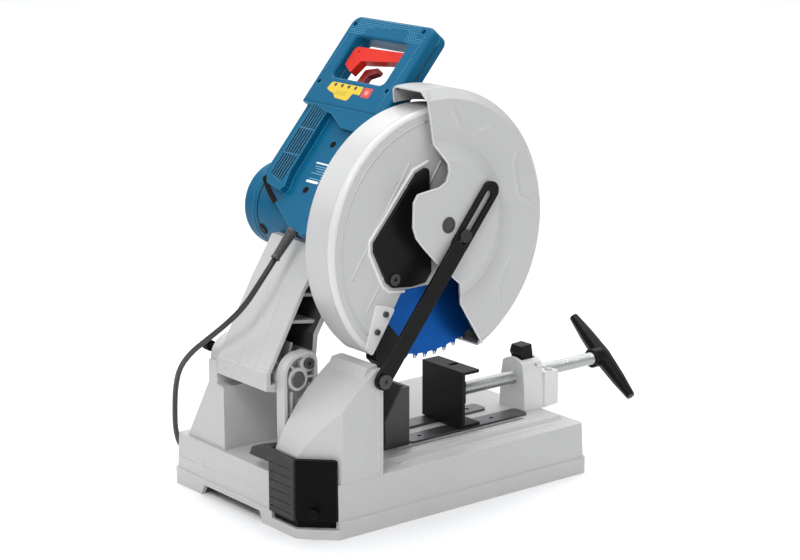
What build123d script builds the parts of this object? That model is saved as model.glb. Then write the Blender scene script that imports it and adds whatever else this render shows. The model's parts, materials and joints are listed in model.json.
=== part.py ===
from build123d import *
import os
from math import cos, pi, radians, sin, tan

os.makedirs("parts", exist_ok=True)

# Dry-cut metal chop saw with a 305 mm toothed blade, millimetres.
# Origin: centre of the four bench bolt holes, on the face the base stands on.
# +X towards the operator and the vise handle, -Y towards the blade side, +Z up.

# ---------------------------------------------------------------- dimensions
BASE_X0, BASE_X1 = -218.0, 222.0      # footprint, rear and front
BASE_HALF = 152.0                     # half of the footprint's width
CORNER_X, CORNER_Y = -182.0, -115.0   # where the cut rear corner starts and ends
FLANGE_TOP = 21.0                     # height of the foot flange
DECK_Z = 67.0                         # top of the base walls
BED_Z = 72.0                          # raised work bed
RAIL_Z = 75.0                         # top of the vise rails
WALL = 5.0                            # casting wall
BOLT_X, BOLT_Y = 172.0, 137.0         # bench bolt pattern, half spacings
BENCH_HOLE_R = 4.0

PIVOT_X, PIVOT_Z = -175.0, 178.0      # head hinge axis, parallel to Y
PIVOT_R = 10.0
HEAD_TRAVEL = 34.0                    # degrees from raised to lowered
FIT = 0.05                            # radial running clearance
ARM_Y0, ARM_Y1 = -45.0, 60.0          # sides of the swing arm
ARM_WALL = 6.0
BUSH_R = 14.0                         # outside of the hinge bushes
LOCK_PITCH, LOCK_ANGLE = 23.0, 150.0  # transport lock, round the hinge axis
LOCK_PIN_R = 3.0
STOP_X, STOP_Z = PIVOT_X + 15, PIVOT_Z + 18   # depth stop screw
STOP_R = 4.0

BLADE_X, BLADE_Y, BLADE_Z = -4.0, -95.0, 336.0
BLADE_R = 152.5
BLADE_T = 1.8
TEETH = 60
ARBOR_R = 10.0
BOLT_R = 5.0                          # arbor bolt
FLANGE_R = 28.0

GUARD_R = 163.6                       # fixed guard, concentric with the blade
GUARD_NEAR = -122.0
GUARD_FAR = -70.0
GUARD_T = 2.5

SWING_X, SWING_Z = -10.0, 360.0       # swing guard hinge axis
RIM_X, RIM_Z = -11.0, 350.0           # centre of the swing guard's rim
RIM_R = 173.0
SWING_NEAR = -132.5                   # outer face of the swing guard
SWING_FAR = -65.5                     # far flange of the swing guard
SWING_T = 2.0
BOSS_NEAR = -146.0                    # raised hub of the swing guard

LEVER_X, LEVER_Z = -116.0, 186.0      # link lever bolt
SLOT_X, SLOT_Z = 11.0, 345.0          # drive pin in the lever's slot
LEVER_T = 4.5
LEVER_Y = -150.0                      # back face of the lever's lower half
JOGGLE = 3.0

MODULE = 1.5
PINION_TEETH, GEAR_TEETH = 8, 69
CENTRES = MODULE * (PINION_TEETH + GEAR_TEETH) / 2
MOTOR_LEAN = radians(166.0)           # from the arbor to the motor axis
MOTOR_X = BLADE_X + CENTRES * cos(MOTOR_LEAN)
MOTOR_Z = BLADE_Z + CENTRES * sin(MOTOR_LEAN)
MOTOR_R = 55.0

SLAB_TILT = radians(49.3)             # lean of the handle slab above level
SLAB_FACE = 351.0                     # rear face of the slab from the origin
SLAB_SPLIT = 337.0                    # parting plane of the handle shells
SLAB_FRONT = 324.0
SLAB_Y0, SLAB_Y1 = -62.0, 101.0

SPINDLE_Y, SPINDLE_Z = -53.0, 114.0
SPINDLE_R = 8.5
JAW_X = 60.0
NUT_X0 = 178.0                        # face of the nut pillar
PAWL_X, PAWL_Z = NUT_X0 + 24, 131.0   # pin of the half nut
PAWL_PIN_R = 2.0

CORD_D = 7.0


# ---------------------------------------------------------------- helpers
def side(y):
    """Sketch plane facing the blade side: local x is X and local y is Z."""
    return Plane.XZ.offset(-y)


def slab(n):
    """Sketch plane of the handle slab: local x is -Y, local y runs up the slab."""
    normal = Vector(-sin(SLAB_TILT), 0, cos(SLAB_TILT))
    return Plane(origin=normal * n, x_dir=(0, -1, 0), z_dir=normal)


def save(builder, label):
    builder.part.label = label
    export_step(builder.part, f"parts/{label}.step")


def polar(x, z, r, angle):
    a = radians(angle)
    return (x + r * cos(a), z + r * sin(a))


def gear_outline(teeth, lead):
    """Points of a plain trapezoid-tooth gear of the shared module."""
    pitch_r = MODULE * teeth / 2
    root_r = pitch_r - 1.1 * MODULE
    tip_r = pitch_r + 0.8 * MODULE
    step = 2 * pi / teeth
    points = []
    for i in range(teeth):
        for r, share in ((root_r, -0.30), (tip_r, -0.11), (tip_r, 0.11), (root_r, 0.30)):
            a = lead + (i + share) * step
            points.append((r * cos(a), r * sin(a)))
    return points


def footprint(inset):
    """Plan of the base with its cut rear corner, drawn inset from the edge."""
    x0, x1, h = BASE_X0 + inset, BASE_X1 - inset, BASE_HALF - inset
    k = inset * 0.45
    return [(x0, CORNER_Y + k), (CORNER_X + k, -h), (x1, -h), (x1, h), (x0, h)]


LOCK_X, LOCK_Z = polar(PIVOT_X, PIVOT_Z, LOCK_PITCH, LOCK_ANGLE)

# ================================================================ BASE
BIN_X1, BIN_Y1 = -112.0, -64.0        # chip box bay
SLOT_Y0, SLOT_Y1 = -99.5, -91.0       # blade slot in the bed
BOSS_R = 9.0

with BuildPart() as base_casting:
    with BuildSketch(Plane.XY) as plan:
        with BuildLine():
            Polyline(*footprint(0), close=True)
        make_face()
        fillet(plan.vertices(), 8)
    extrude(amount=FLANGE_TOP)
    with BuildSketch(Plane.XY.offset(FLANGE_TOP)) as waist:
        with BuildLine():
            Polyline(*footprint(2.0), close=True)
        make_face()
        fillet(waist.vertices(), 7)
    extrude(amount=DECK_Z - FLANGE_TOP, taper=3)
    # raised work bed, bevelled round its edge
    with BuildSketch(Plane.XY.offset(DECK_Z)):
        with Locations((52, -8)):
            RectangleRounded(316, 226, 10)
    extrude(amount=BED_Z - DECK_Z, taper=40)
    # hollow underside
    with BuildSketch(Plane.XY):
        with Locations((52, 0)):
            RectangleRounded(324, 288, 10)
        with Locations((-162, 43)):
            RectangleRounded(100, 200, 6)
    extrude(amount=DECK_Z - WALL, taper=3, mode=Mode.SUBTRACT)
    # chip box bay, open upwards to the chute and out at the rear
    with BuildSketch(Plane.XY.offset(12)):
        with BuildLine():
            Polyline((BASE_X0 - 2, BIN_Y1), (BASE_X0 - 2, -156), (CORNER_X + 2, -156),
                     (CORNER_X + 2, -143.5), (BIN_X1, -143.5), (BIN_X1, BIN_Y1), close=True)
        make_face()
    extrude(amount=DECK_Z, mode=Mode.SUBTRACT)
    # slot that the lowered blade dips into
    with BuildSketch(Plane.XY.offset(DECK_Z - 12)):
        with Locations((57, (SLOT_Y0 + SLOT_Y1) / 2)):
            SlotOverall(206, SLOT_Y1 - SLOT_Y0)
    extrude(amount=20, mode=Mode.SUBTRACT)
    # foot cut-outs under the rear and the sides
    with BuildSketch(Plane.YZ.offset(BASE_X0 - 5)):
        with BuildLine():
            Polyline((-46, -1), (-38, 14), (82, 14), (90, -1), close=True)
        make_face()
    extrude(amount=16, mode=Mode.SUBTRACT)
    # blind bench bolt holes, tapped from below
    with BuildSketch(Plane.XY):
        with GridLocations(2 * BOLT_X, 2 * BOLT_Y, 2, 2):
            Circle(BENCH_HOLE_R + 6)
    extrude(amount=12)
    with BuildSketch(Plane.XY):
        with GridLocations(2 * BOLT_X, 2 * BOLT_Y, 2, 2):
            Circle(BENCH_HOLE_R)
    extrude(amount=10, mode=Mode.SUBTRACT)
    # recessed strips across the rear face
    with BuildSketch(Plane.YZ.offset(BASE_X0 - 1)):
        with Locations((22, 41)):
            Rectangle(132, 9)
        with Locations((123, 41)):
            Rectangle(38, 9)
    extrude(amount=4.5, mode=Mode.SUBTRACT)
save(base_casting, "base_casting")

with BuildPart() as far_tower:
    # wedge-shaped flank of the rear tower
    with BuildSketch(Plane.YZ.offset(BASE_X0 + 9)):
        with BuildLine():
            Polyline((48, DECK_Z), (130, DECK_Z), (80, 150), (62, 150), (48, 148), close=True)
        make_face()
    extrude(amount=101)
    with BuildSketch(Plane.YZ.offset(BASE_X0 + 14)):
        with BuildLine():
            Polyline((53, DECK_Z - 1), (121, DECK_Z - 1), (78, 142), (53, 142), close=True)
        make_face()
    extrude(amount=91, mode=Mode.SUBTRACT)
    # hinge cheek
    with BuildSketch(side(80)):
        with BuildLine():
            Polyline((PIVOT_X - 34, 140), (PIVOT_X + 34, 140), (PIVOT_X + 34, PIVOT_Z),
                     (PIVOT_X - 34, PIVOT_Z), close=True)
        make_face()
        with Locations((PIVOT_X, PIVOT_Z)):
            Circle(31)
    extrude(amount=18)
    with BuildSketch(side(86)):
        with Locations((PIVOT_X, PIVOT_Z)):
            Circle(PIVOT_R + FIT)
    extrude(amount=40, mode=Mode.SUBTRACT)
    with BuildSketch(side(86)):
        with Locations((LOCK_X, LOCK_Z)):
            Circle(LOCK_PIN_R + FIT)
    extrude(amount=40, mode=Mode.SUBTRACT)
save(far_tower, "far_tower")

BRACKET_Y0, BRACKET_Y1 = -63.0, -47.0
BRACKET_WEB = -52.0

with BuildPart() as pivot_bracket:
    # ribbed near cheek of the head hinge
    with BuildSketch(side(BRACKET_Y1)) as cheek:
        with BuildLine():
            Polyline((-196, DECK_Z), (-186, DECK_Z), (-146, 152), (-146, 198))
            ThreePointArc((-146, 198), (-155, 209), (-167, 209.5))
            ThreePointArc((-167, 209.5), (-188, 202), (-196, 182))
            Line((-196, 182), (-196, DECK_Z))
        make_face()
    extrude(amount=BRACKET_Y1 - BRACKET_Y0)
    with BuildSketch(side(BRACKET_WEB)):
        offset(cheek.sketch, amount=-4.5)
    extrude(amount=14, mode=Mode.SUBTRACT)
    with BuildSketch(side(BRACKET_WEB)):
        with Locations((PIVOT_X, PIVOT_Z)):
            Circle(14)
        with Locations((STOP_X, STOP_Z)):
            Circle(10.5)
    extrude(amount=BRACKET_WEB - BRACKET_Y0 - 0.5)
    # web ribs
    with BuildSketch(side(BRACKET_WEB)):
        with Locations((-167, 135)):
            Rectangle(45, 3)
        with Locations((-183, 118)):
            Rectangle(3, 90)
        with Locations(Location((-165, 153), 62)):
            Rectangle(40, 3)
        with Locations(Location((-160, 178), 0)):
            Rectangle(30, 3)
        with Locations(Location((-181, 193), 130)):
            Rectangle(24, 3)
    extrude(amount=8)
    with BuildSketch(side(BRACKET_Y1)):
        Rectangle(600, 900)
        add(cheek.sketch, mode=Mode.SUBTRACT)
    extrude(amount=20, mode=Mode.SUBTRACT)
    with BuildSketch(side(BRACKET_Y1 + 1)):
        with Locations((PIVOT_X, PIVOT_Z)):
            Circle(PIVOT_R + FIT)
        with Locations((STOP_X, STOP_Z)):
            Circle(STOP_R + FIT)
    extrude(amount=20, mode=Mode.SUBTRACT)
save(pivot_bracket, "pivot_bracket")

CHUTE_Y0, CHUTE_Y1 = -148.0, -66.0
CHUTE_X1 = -112.0
CHUTE_WALL = 4.0

with BuildPart() as chute_core:
    # hollow of the chute, open to the front and down into the chip box
    with BuildSketch(side(CHUTE_Y1 - CHUTE_WALL)):
        with BuildLine():
            Polyline((-207, DECK_Z - 2), (-80, DECK_Z - 2), (-80, 186), (-126, 195))
            ThreePointArc((-126, 195), (-169, 154), (-207, 98))
            Line((-207, 98), (-207, DECK_Z - 2))
        make_face()
    extrude(amount=CHUTE_Y1 - CHUTE_Y0 - 2 * CHUTE_WALL)
    with BuildSketch(Plane.XY.offset(DECK_Z - 5)):
        with BuildLine():
            Polyline((-216, -99), (-216, -156), (-159, -156), close=True)
        make_face()
    extrude(amount=160, mode=Mode.SUBTRACT)

with BuildPart() as chute_housing:
    # chip chute behind the blade: a hood with its mouth to the front
    with BuildSketch(side(CHUTE_Y1)):
        with BuildLine():
            Polyline((-212, DECK_Z), (CHUTE_X1, DECK_Z), (CHUTE_X1, 199), (-122, 199))
            ThreePointArc((-122, 199), (-172, 158), (-212, 100))
            Line((-212, 100), (-212, DECK_Z))
        make_face()
    extrude(amount=CHUTE_Y1 - CHUTE_Y0)
    # cut rear corner, inside the chip box face
    with BuildSketch(Plane.XY.offset(DECK_Z - 5)):
        with BuildLine():
            Polyline((-216, -105), (-216, -156), (-165, -156), close=True)
        make_face()
    extrude(amount=160, mode=Mode.SUBTRACT)
    # collar round the top of the mouth
    with BuildSketch(side(CHUTE_Y1 - 4)):
        with BuildLine():
            Polyline((CHUTE_X1 - 3, 190), (CHUTE_X1 - 3, 203), (-130, 201.5), (-138, 186), close=True)
        make_face()
    extrude(amount=CHUTE_Y1 - CHUTE_Y0 - 12)
    add(chute_core.part, mode=Mode.SUBTRACT)
    # boss for the link lever's bolt
    with BuildSketch(side(CHUTE_Y0 + CHUTE_WALL)):
        with Locations((LEVER_X, LEVER_Z)):
            Circle(BOSS_R)
    extrude(amount=CHUTE_WALL + 1.4)
    with BuildSketch(side(CHUTE_Y0 + 10)):
        with Locations((LEVER_X, LEVER_Z)):
            Circle(5)
    extrude(amount=14, mode=Mode.SUBTRACT)
save(chute_housing, "chute_housing")

with BuildPart() as chip_box:
    # removable bin with its two outer faces
    with BuildSketch(Plane.XY.offset(13)):
        with BuildLine():
            Polyline((-214, -65.5), (-214, -111), (-180, -142), (-114, -142), (-114, -65.5), close=True)
        make_face()
    extrude(amount=49)
    with BuildSketch(Plane.XY.offset(15)):
        with BuildLine():
            Polyline((-212, -67.5), (-212, -111), (-180, -140), (-116, -140), (-116, -67.5), close=True)
        make_face()
    extrude(amount=49, mode=Mode.SUBTRACT)
    with BuildSketch(Plane.XY.offset(22.5)):
        with BuildLine():
            Polyline((-217.5, -65.5), (-213.5, -65.5), (-213.5, -110), (-181, -142.5), (-181, -148.5),
                     (-183.2, -148.5), (-217.5, -114), close=True)
        make_face()
    extrude(amount=76)
save(chip_box, "chip_box")

with BuildPart() as chip_box_cap:
    # ribbed grip cover over the rear of the bin, with a hooked top
    with BuildSketch(Plane.YZ.offset(-221.5)):
        with BuildLine():
            Polyline((-64, 23), (-113, 23), (-113, 99), (-56, 103), (-30, 95), (-24, 84), (-64, 84),
                     close=True)
        make_face()
    extrude(amount=4)
    with BuildSketch(Plane.YZ.offset(-217.5)):
        with BuildLine():
            Polyline((-62, 86), (-62, 101), (-56, 103), (-30, 95), (-24, 84), close=True)
        make_face()
    extrude(amount=14)
    with BuildSketch(Plane.YZ.offset(-221.5)):
        with GridLocations(1, 11, 1, 6):
            with Locations((-88.5, 58)):
                Rectangle(43, 2.4)
    extrude(amount=1.2, mode=Mode.SUBTRACT)
save(chip_box_cap, "chip_box_cap")

with BuildPart() as chip_box_knob:
    with BuildSketch(Plane(origin=(-203, -131, 34), z_dir=(-0.707, -0.707, 0))):
        Circle(5.5)
    extrude(amount=9)
    chamfer(chip_box_knob.faces().sort_by(Axis.Y)[0].edges(), 1)
save(chip_box_knob, "chip_box_knob")

# ---------------------------------------------------------------- pivot
with BuildPart() as pivot_shaft:
    with BuildSketch(side(84)):
        with Locations((PIVOT_X, PIVOT_Z)):
            Circle(PIVOT_R)
    extrude(amount=84 + 64)
    chamfer(pivot_shaft.edges().filter_by(GeomType.CIRCLE), 1)
save(pivot_shaft, "pivot_shaft")

with BuildPart() as stop_screw:
    # stop screw in the upper boss of the near cheek
    with BuildSketch(side(-44)):
        with Locations((STOP_X, STOP_Z)):
            Circle(STOP_R)
    extrude(amount=19)
    with BuildSketch(side(-62.7)):
        with Locations((STOP_X, STOP_Z)):
            Circle(7)
            RegularPolygon(3.2, 6, mode=Mode.SUBTRACT)
    extrude(amount=4)
save(stop_screw, "stop_screw")

with BuildPart() as transport_lock_pin:
    with BuildSketch(side(104)):
        with Locations((LOCK_X, LOCK_Z)):
            Circle(LOCK_PIN_R)
    extrude(amount=104 - 62.5)
    with BuildSketch(side(106)):
        with Locations((LOCK_X, LOCK_Z)):
            Circle(7)
    extrude(amount=12)
    fillet(transport_lock_pin.edges().filter_by(GeomType.CIRCLE).group_by(Axis.Y)[-1], 1.5)
save(transport_lock_pin, "transport_lock_pin")

with BuildPart() as lever_bolt:
    with BuildSketch(side(CHUTE_Y0 + 3)):
        with Locations((LEVER_X, LEVER_Z)):
            Circle(5)
    extrude(amount=3 + 7.2)
    with BuildSketch(side(-155.2)):
        with Locations((LEVER_X, LEVER_Z)):
            Circle(8.5)
    extrude(amount=4)
    with BuildSketch(side(-157)):
        with Locations((LEVER_X, LEVER_Z)):
            RegularPolygon(3.5, 6)
    extrude(amount=3, mode=Mode.SUBTRACT)
save(lever_bolt, "lever_bolt")

# ================================================================ VISE
with BuildPart() as bed_rails:
    # two ground steel rails with the guide gap between them
    with BuildSketch(Plane.XY.offset(BED_Z)):
        with Locations((76, -76.5)):
            Rectangle(196, 27)
        with Locations((65, -27)):
            Rectangle(162, 26)
    extrude(amount=RAIL_Z - BED_Z)
    chamfer(bed_rails.edges().filter_by(Axis.Z), 4)
    with BuildSketch(Plane.XY.offset(BED_Z - 1)):
        with GridLocations(120, 48.5, 2, 2):
            with Locations((62, -52.25)):
                Circle(3)
    extrude(amount=10, mode=Mode.SUBTRACT)
save(bed_rails, "bed_rails")

FENCE_X = -25.0
FENCE_PIVOT_X, FENCE_PIVOT_Y = -46.0, -22.0

with BuildPart() as fence:
    # angle plate with two braced wings and a foot
    with BuildSketch(Plane.YZ.offset(FENCE_X - 5)):
        with BuildLine():
            Polyline((-90, BED_Z + 0.4), (-4, BED_Z + 0.4), (-4, 148), (-90, 148), close=True)
        make_face()
    extrude(amount=5)
    with BuildSketch(side(-87)) as wing:
        with BuildLine():
            Polyline((FENCE_X - 4, 148), (FENCE_X - 4, BED_Z + 0.4), (-62, BED_Z + 0.4), (-63, 108),
                     (-37, 148), close=True)
        make_face()
    extrude(amount=3)
    with BuildSketch(side(-4)):
        add(wing.sketch)
    extrude(amount=4)
    with BuildSketch(Plane.XY.offset(BED_Z + 0.4)):
        with Locations((-46.5, -47)):
            Rectangle(33, 86)
    extrude(amount=6)
    with BuildSketch(Plane.XY.offset(BED_Z)):
        with Locations((FENCE_PIVOT_X, FENCE_PIVOT_Y)):
            Circle(4.05)
    extrude(amount=20, mode=Mode.SUBTRACT)
save(fence, "fence")

with BuildPart() as vise_jaw:
    # bent steel jaw, flanged at the top and at the foot
    with BuildSketch(side(-11)):
        with BuildLine():
            Polyline((JAW_X, 76), (JAW_X + 29, 76), (JAW_X + 29, 80), (JAW_X + 4, 80), (JAW_X + 4, 146),
                     (JAW_X + 27, 146), (JAW_X + 27, 150), (JAW_X, 150), close=True)
        make_face()
    extrude(amount=81)
    with BuildSketch(Plane.XY.offset(140)):
        with Locations((JAW_X + 17, SPINDLE_Y)):
            SlotOverall(14, 8)
    extrude(amount=20, mode=Mode.SUBTRACT)
    # socket for the spindle's end
    with BuildSketch(Plane.YZ.offset(JAW_X + 4)):
        with Locations((SPINDLE_Y, SPINDLE_Z)):
            RectangleRounded(34, 34, 5)
            Circle(SPINDLE_R + FIT, mode=Mode.SUBTRACT)
    extrude(amount=20)
save(vise_jaw, "vise_jaw")

THREAD_X0, THREAD_X1 = JAW_X + 5.0, 326.0

with BuildPart() as vise_spindle:
    with BuildSketch(Plane.YZ.offset(THREAD_X0)):
        with Locations((SPINDLE_Y, SPINDLE_Z)):
            Circle(SPINDLE_R)
    extrude(amount=THREAD_X1 - THREAD_X0)
    chamfer(vise_spindle.edges().filter_by(GeomType.CIRCLE), 1)
save(vise_spindle, "vise_spindle")

BAR_LEAN = radians(37)
BAR_X = 340.0
bar_along = Vector(0, cos(BAR_LEAN), sin(BAR_LEAN))

with BuildPart() as t_handle:
    # tapered eight-sided bar across the end of the spindle
    with BuildSketch(Plane.YZ.offset(THREAD_X1 - 6)):
        with Locations((SPINDLE_Y, SPINDLE_Z)):
            Circle(13)
            Circle(SPINDLE_R + 0.02, mode=Mode.SUBTRACT)
    extrude(amount=6)
    with BuildSketch(Plane.YZ.offset(THREAD_X1)):
        with Locations((SPINDLE_Y, SPINDLE_Z)):
            Circle(13)
    extrude(amount=10)
    hub_plane = Plane(origin=(BAR_X, SPINDLE_Y, SPINDLE_Z), x_dir=(1, 0, 0), z_dir=bar_along)
    with BuildSketch(hub_plane.offset(-72)):
        RegularPolygon(6, 8)
    with BuildSketch(hub_plane.offset(-40)):
        RegularPolygon(9.5, 8)
    with BuildSketch(hub_plane):
        RegularPolygon(12, 8)
    with BuildSketch(hub_plane.offset(40)):
        RegularPolygon(9.5, 8)
    with BuildSketch(hub_plane.offset(72)):
        RegularPolygon(6, 8)
    loft(ruled=True)
save(t_handle, "t_handle")

with BuildPart() as nut_housing:
    # cast pillar that carries the spindle nut, with a foot towards the operator
    with BuildSketch(Plane.YZ.offset(NUT_X0)):
        with BuildLine():
            Polyline((-78, BED_Z), (-28, BED_Z), (-30, 110), (-34, 134))
            ThreePointArc((-34, 134), (-53, 141), (-72, 134))
            Polyline((-72, 134), (-76, 110), (-78, BED_Z))
        make_face()
    extrude(amount=34)
    with BuildSketch(Plane.YZ.offset(NUT_X0 + 34)):
        with Locations((SPINDLE_Y, 96)):
            Rectangle(52, 48)
    extrude(amount=25, taper=3)
    # channel for the half nut, and the spindle bore
    with BuildSketch(Plane.YZ.offset(NUT_X0 + 5)):
        with Locations((SPINDLE_Y, 128)):
            Rectangle(24, 52)
    extrude(amount=24, mode=Mode.SUBTRACT)
    with BuildSketch(Plane.YZ.offset(NUT_X0 - 5)):
        with Locations((SPINDLE_Y, SPINDLE_Z)):
            Circle(SPINDLE_R + 0.1)
    extrude(amount=80, mode=Mode.SUBTRACT)
    with BuildSketch(side(-20)):
        with Locations((PAWL_X, PAWL_Z)):
            Circle(PAWL_PIN_R + FIT)
    extrude(amount=70, mode=Mode.SUBTRACT)
save(nut_housing, "nut_housing")

with BuildPart() as vise_bolts:
    # pivot bolt of the fence, and cap screws on the pillar's foot
    with BuildSketch(Plane.XY.offset(BED_Z)):
        with Locations((FENCE_PIVOT_X, FENCE_PIVOT_Y)):
            Circle(4)
    extrude(amount=8)
    with BuildSketch(Plane.XY.offset(BED_Z + 6.7)):
        with Locations((FENCE_PIVOT_X, FENCE_PIVOT_Y)):
            RegularPolygon(7.5, 6)
    extrude(amount=5.5)
    with BuildSketch(Plane.XY.offset(120)):
        with GridLocations(1, 34, 1, 2):
            with Locations((NUT_X0 + 48, SPINDLE_Y)):
                Circle(5)
                RegularPolygon(2.5, 6, mode=Mode.SUBTRACT)
    extrude(amount=4)
save(vise_bolts, "vise_bolts")

with BuildPart() as half_nut:
    # quick-release pawl that drops onto the spindle
    with BuildSketch(side(SPINDLE_Y + 10)):
        with BuildLine():
            Polyline((NUT_X0 + 7, 125), (NUT_X0 + 7, 141), (NUT_X0 + 4, 147), (NUT_X0 + 7, 156),
                     (NUT_X0 + 24, 157), (NUT_X0 + 26, 146), (NUT_X0 + 26, 126), (NUT_X0 + 24, 124.5),
                     close=True)
        make_face()
        with Locations((PAWL_X, PAWL_Z)):
            Circle(PAWL_PIN_R + FIT, mode=Mode.SUBTRACT)
    extrude(amount=20)
save(half_nut, "half_nut")

with BuildPart() as half_nut_pin:
    with BuildSketch(side(-29)):
        with Locations((PAWL_X, PAWL_Z)):
            Circle(PAWL_PIN_R)
    extrude(amount=48)
save(half_nut_pin, "half_nut_pin")

# ================================================================ HEAD
with BuildPart() as arm_core:
    # hollow of the arm, open towards the blade side
    with BuildSketch(side(ARM_Y1 - ARM_WALL)):
        with BuildLine():
            Polyline((-203, 172), (-203, 185), (-149, 282), (-122, 309), (-98, 292), (-122, 251), (-138, 224),
                     (-140, 200), (-150, 196), (-160, 172), close=True)
        make_face()
    extrude(amount=120)
    with BuildSketch(side(ARM_Y1 - ARM_WALL)):
        with Locations((PIVOT_X, PIVOT_Z)):
            Circle(19)
    extrude(amount=120, mode=Mode.SUBTRACT)
    # cross ribs left standing in the hollow
    with BuildSketch(side(ARM_Y1 - ARM_WALL)):
        with Locations(Location((-148, 240), -8)):
            Rectangle(90, 4)
        with Locations(Location((-136, 272), -8)):
            Rectangle(90, 4)
        for angle in (20, 75, 125, 160):
            with Locations(Location(polar(PIVOT_X, PIVOT_Z, 28, angle), angle)):
                Rectangle(24, 3)
    extrude(amount=90, mode=Mode.SUBTRACT)

with BuildPart() as swing_arm:
    with BuildSketch(side(ARM_Y1)):
        with BuildLine():
            Polyline((-210, 165), (-180, 157.5))
            ThreePointArc((-180, 157.5), (-162, 161), (-154, 178))
            Polyline((-154, 178), (-135, 196), (-132, 222), (-116, 249), (-92, 290), (-92, 330), (-124, 330),
                     (-154, 283), (-209, 185), (-210, 165))
        make_face()
        with Locations((PIVOT_X, PIVOT_Z)):
            Circle(22)
        with Locations((MOTOR_X, MOTOR_Z)):
            Circle(MOTOR_R + 2, mode=Mode.SUBTRACT)
    extrude(amount=ARM_Y1 - ARM_Y0)
    add(arm_core.part, mode=Mode.SUBTRACT)
    with BuildSketch(side(ARM_Y1 + 5)):
        with Locations((PIVOT_X, PIVOT_Z)):
            Circle(BUSH_R)
    extrude(amount=120, mode=Mode.SUBTRACT)
    # index holes for the transport lock, head raised and head lowered
    with BuildSketch(side(ARM_Y1 + 5)):
        with Locations((LOCK_X, LOCK_Z), polar(PIVOT_X, PIVOT_Z, LOCK_PITCH, LOCK_ANGLE + HEAD_TRAVEL)):
            Circle(3.8)
    extrude(amount=20, mode=Mode.SUBTRACT)
save(swing_arm, "swing_arm")

with BuildPart() as arm_bushes:
    # bronze bushes pressed into the arm at both ends of its bore
    for y in (ARM_Y1, ARM_Y0 + 22):
        with BuildSketch(side(y)):
            with Locations((PIVOT_X, PIVOT_Z)):
                Circle(BUSH_R)
                Circle(PIVOT_R + FIT, mode=Mode.SUBTRACT)
        extrude(amount=22)
save(arm_bushes, "arm_bushes")

SPRING_R, SPRING_WIRE, SPRING_TURNS = 12.2, 1.5, 16

with BuildPart() as return_spring:
    # close-wound torsion spring round the shaft, between the bushes
    with BuildSketch(Plane(origin=(PIVOT_X, -20.5, PIVOT_Z), x_dir=(1, 0, 0), z_dir=(0, 0, 1))):
        for i in range(SPRING_TURNS):
            with Locations((SPRING_R, 2 + i * SPRING_WIRE * 1.9 * 0.95)):
                Circle(SPRING_WIRE)
    revolve(axis=Axis((PIVOT_X, 0, PIVOT_Z), (0, 1, 0)))
save(return_spring, "return_spring")

# ---------------------------------------------------------------- gearbox
GEARBOX_FAR, GEARBOX_LID, GEARBOX_NEAR = -40.0, -64.0, -68.0
GEAR_LOBE, MOTOR_LOBE = 60.0, 57.0
LOCK_LEAN = radians(60)               # spindle lock button, from the arbor
LOCK_BUTTON_R = 5.0
LOCK_SEAT = 56.6                      # inner end of the button from the arbor
lock_dir = Vector(cos(LOCK_LEAN), 0, sin(LOCK_LEAN))
lock_axis = Vector(BLADE_X, -54, BLADE_Z)

with BuildPart() as gearbox_housing:
    with BuildSketch(side(GEARBOX_FAR)) as lobes:
        with Locations((BLADE_X, BLADE_Z)):
            Circle(GEAR_LOBE)
        with Locations((MOTOR_X, MOTOR_Z)):
            Circle(MOTOR_LOBE)
        with Locations((-32, 343)):
            Rectangle(62, 100)
    extrude(amount=GEARBOX_FAR - GEARBOX_LID)
    with BuildSketch(side(GEARBOX_FAR - 5)):
        with Locations((BLADE_X, BLADE_Z)):
            Circle(GEAR_LOBE - 5)
        with Locations((MOTOR_X, MOTOR_Z)):
            Circle(18)
    extrude(amount=40, mode=Mode.SUBTRACT)
    with BuildSketch(side(GEARBOX_FAR + 1)):
        with Locations((MOTOR_X, MOTOR_Z)):
            Circle(7)
    extrude(amount=20, mode=Mode.SUBTRACT)
    # hole of the spindle lock button
    with BuildSketch(Plane(origin=lock_axis, z_dir=lock_dir).offset(50)):
        Circle(LOCK_BUTTON_R + 0.2)
    extrude(amount=20, mode=Mode.SUBTRACT)
    # seat of the far arbor bearing
    with BuildSketch(side(GEARBOX_FAR - 5)):
        with Locations((BLADE_X, BLADE_Z)):
            Circle(20)
            Circle(14, mode=Mode.SUBTRACT)
    extrude(amount=3)
save(gearbox_housing, "gearbox_housing")

with BuildPart() as gearbox_cover:
    with BuildSketch(side(GEARBOX_LID)):
        add(lobes.sketch)
        with Locations((BLADE_X, BLADE_Z)):
            Circle(14, mode=Mode.SUBTRACT)
    extrude(amount=GEARBOX_LID - GEARBOX_NEAR)
    # nose round the arbor that carries the fixed guard and the near bearing
    with BuildSketch(side(GEARBOX_NEAR)):
        with Locations((BLADE_X, BLADE_Z)):
            Circle(22)
            Circle(14, mode=Mode.SUBTRACT)
    extrude(amount=8)
save(gearbox_cover, "gearbox_cover")

with BuildPart() as arbor_shaft:
    with BuildSketch(side(-45.2)):
        with Locations((BLADE_X, BLADE_Z)):
            Circle(ARBOR_R)
    extrude(amount=97.5 - 45.2)
    with BuildSketch(side(-98)):
        with Locations((BLADE_X, BLADE_Z)):
            Circle(BOLT_R)
    extrude(amount=20, both=True, mode=Mode.SUBTRACT)
save(arbor_shaft, "arbor_shaft")

with BuildPart() as drive_gear:
    with BuildSketch(side(-50)):
        with Locations((BLADE_X, BLADE_Z)):
            Polygon(*gear_outline(GEAR_TEETH, MOTOR_LEAN + pi / GEAR_TEETH), align=None)
            Circle(ARBOR_R, mode=Mode.SUBTRACT)
    extrude(amount=11)
save(drive_gear, "drive_gear")

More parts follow.
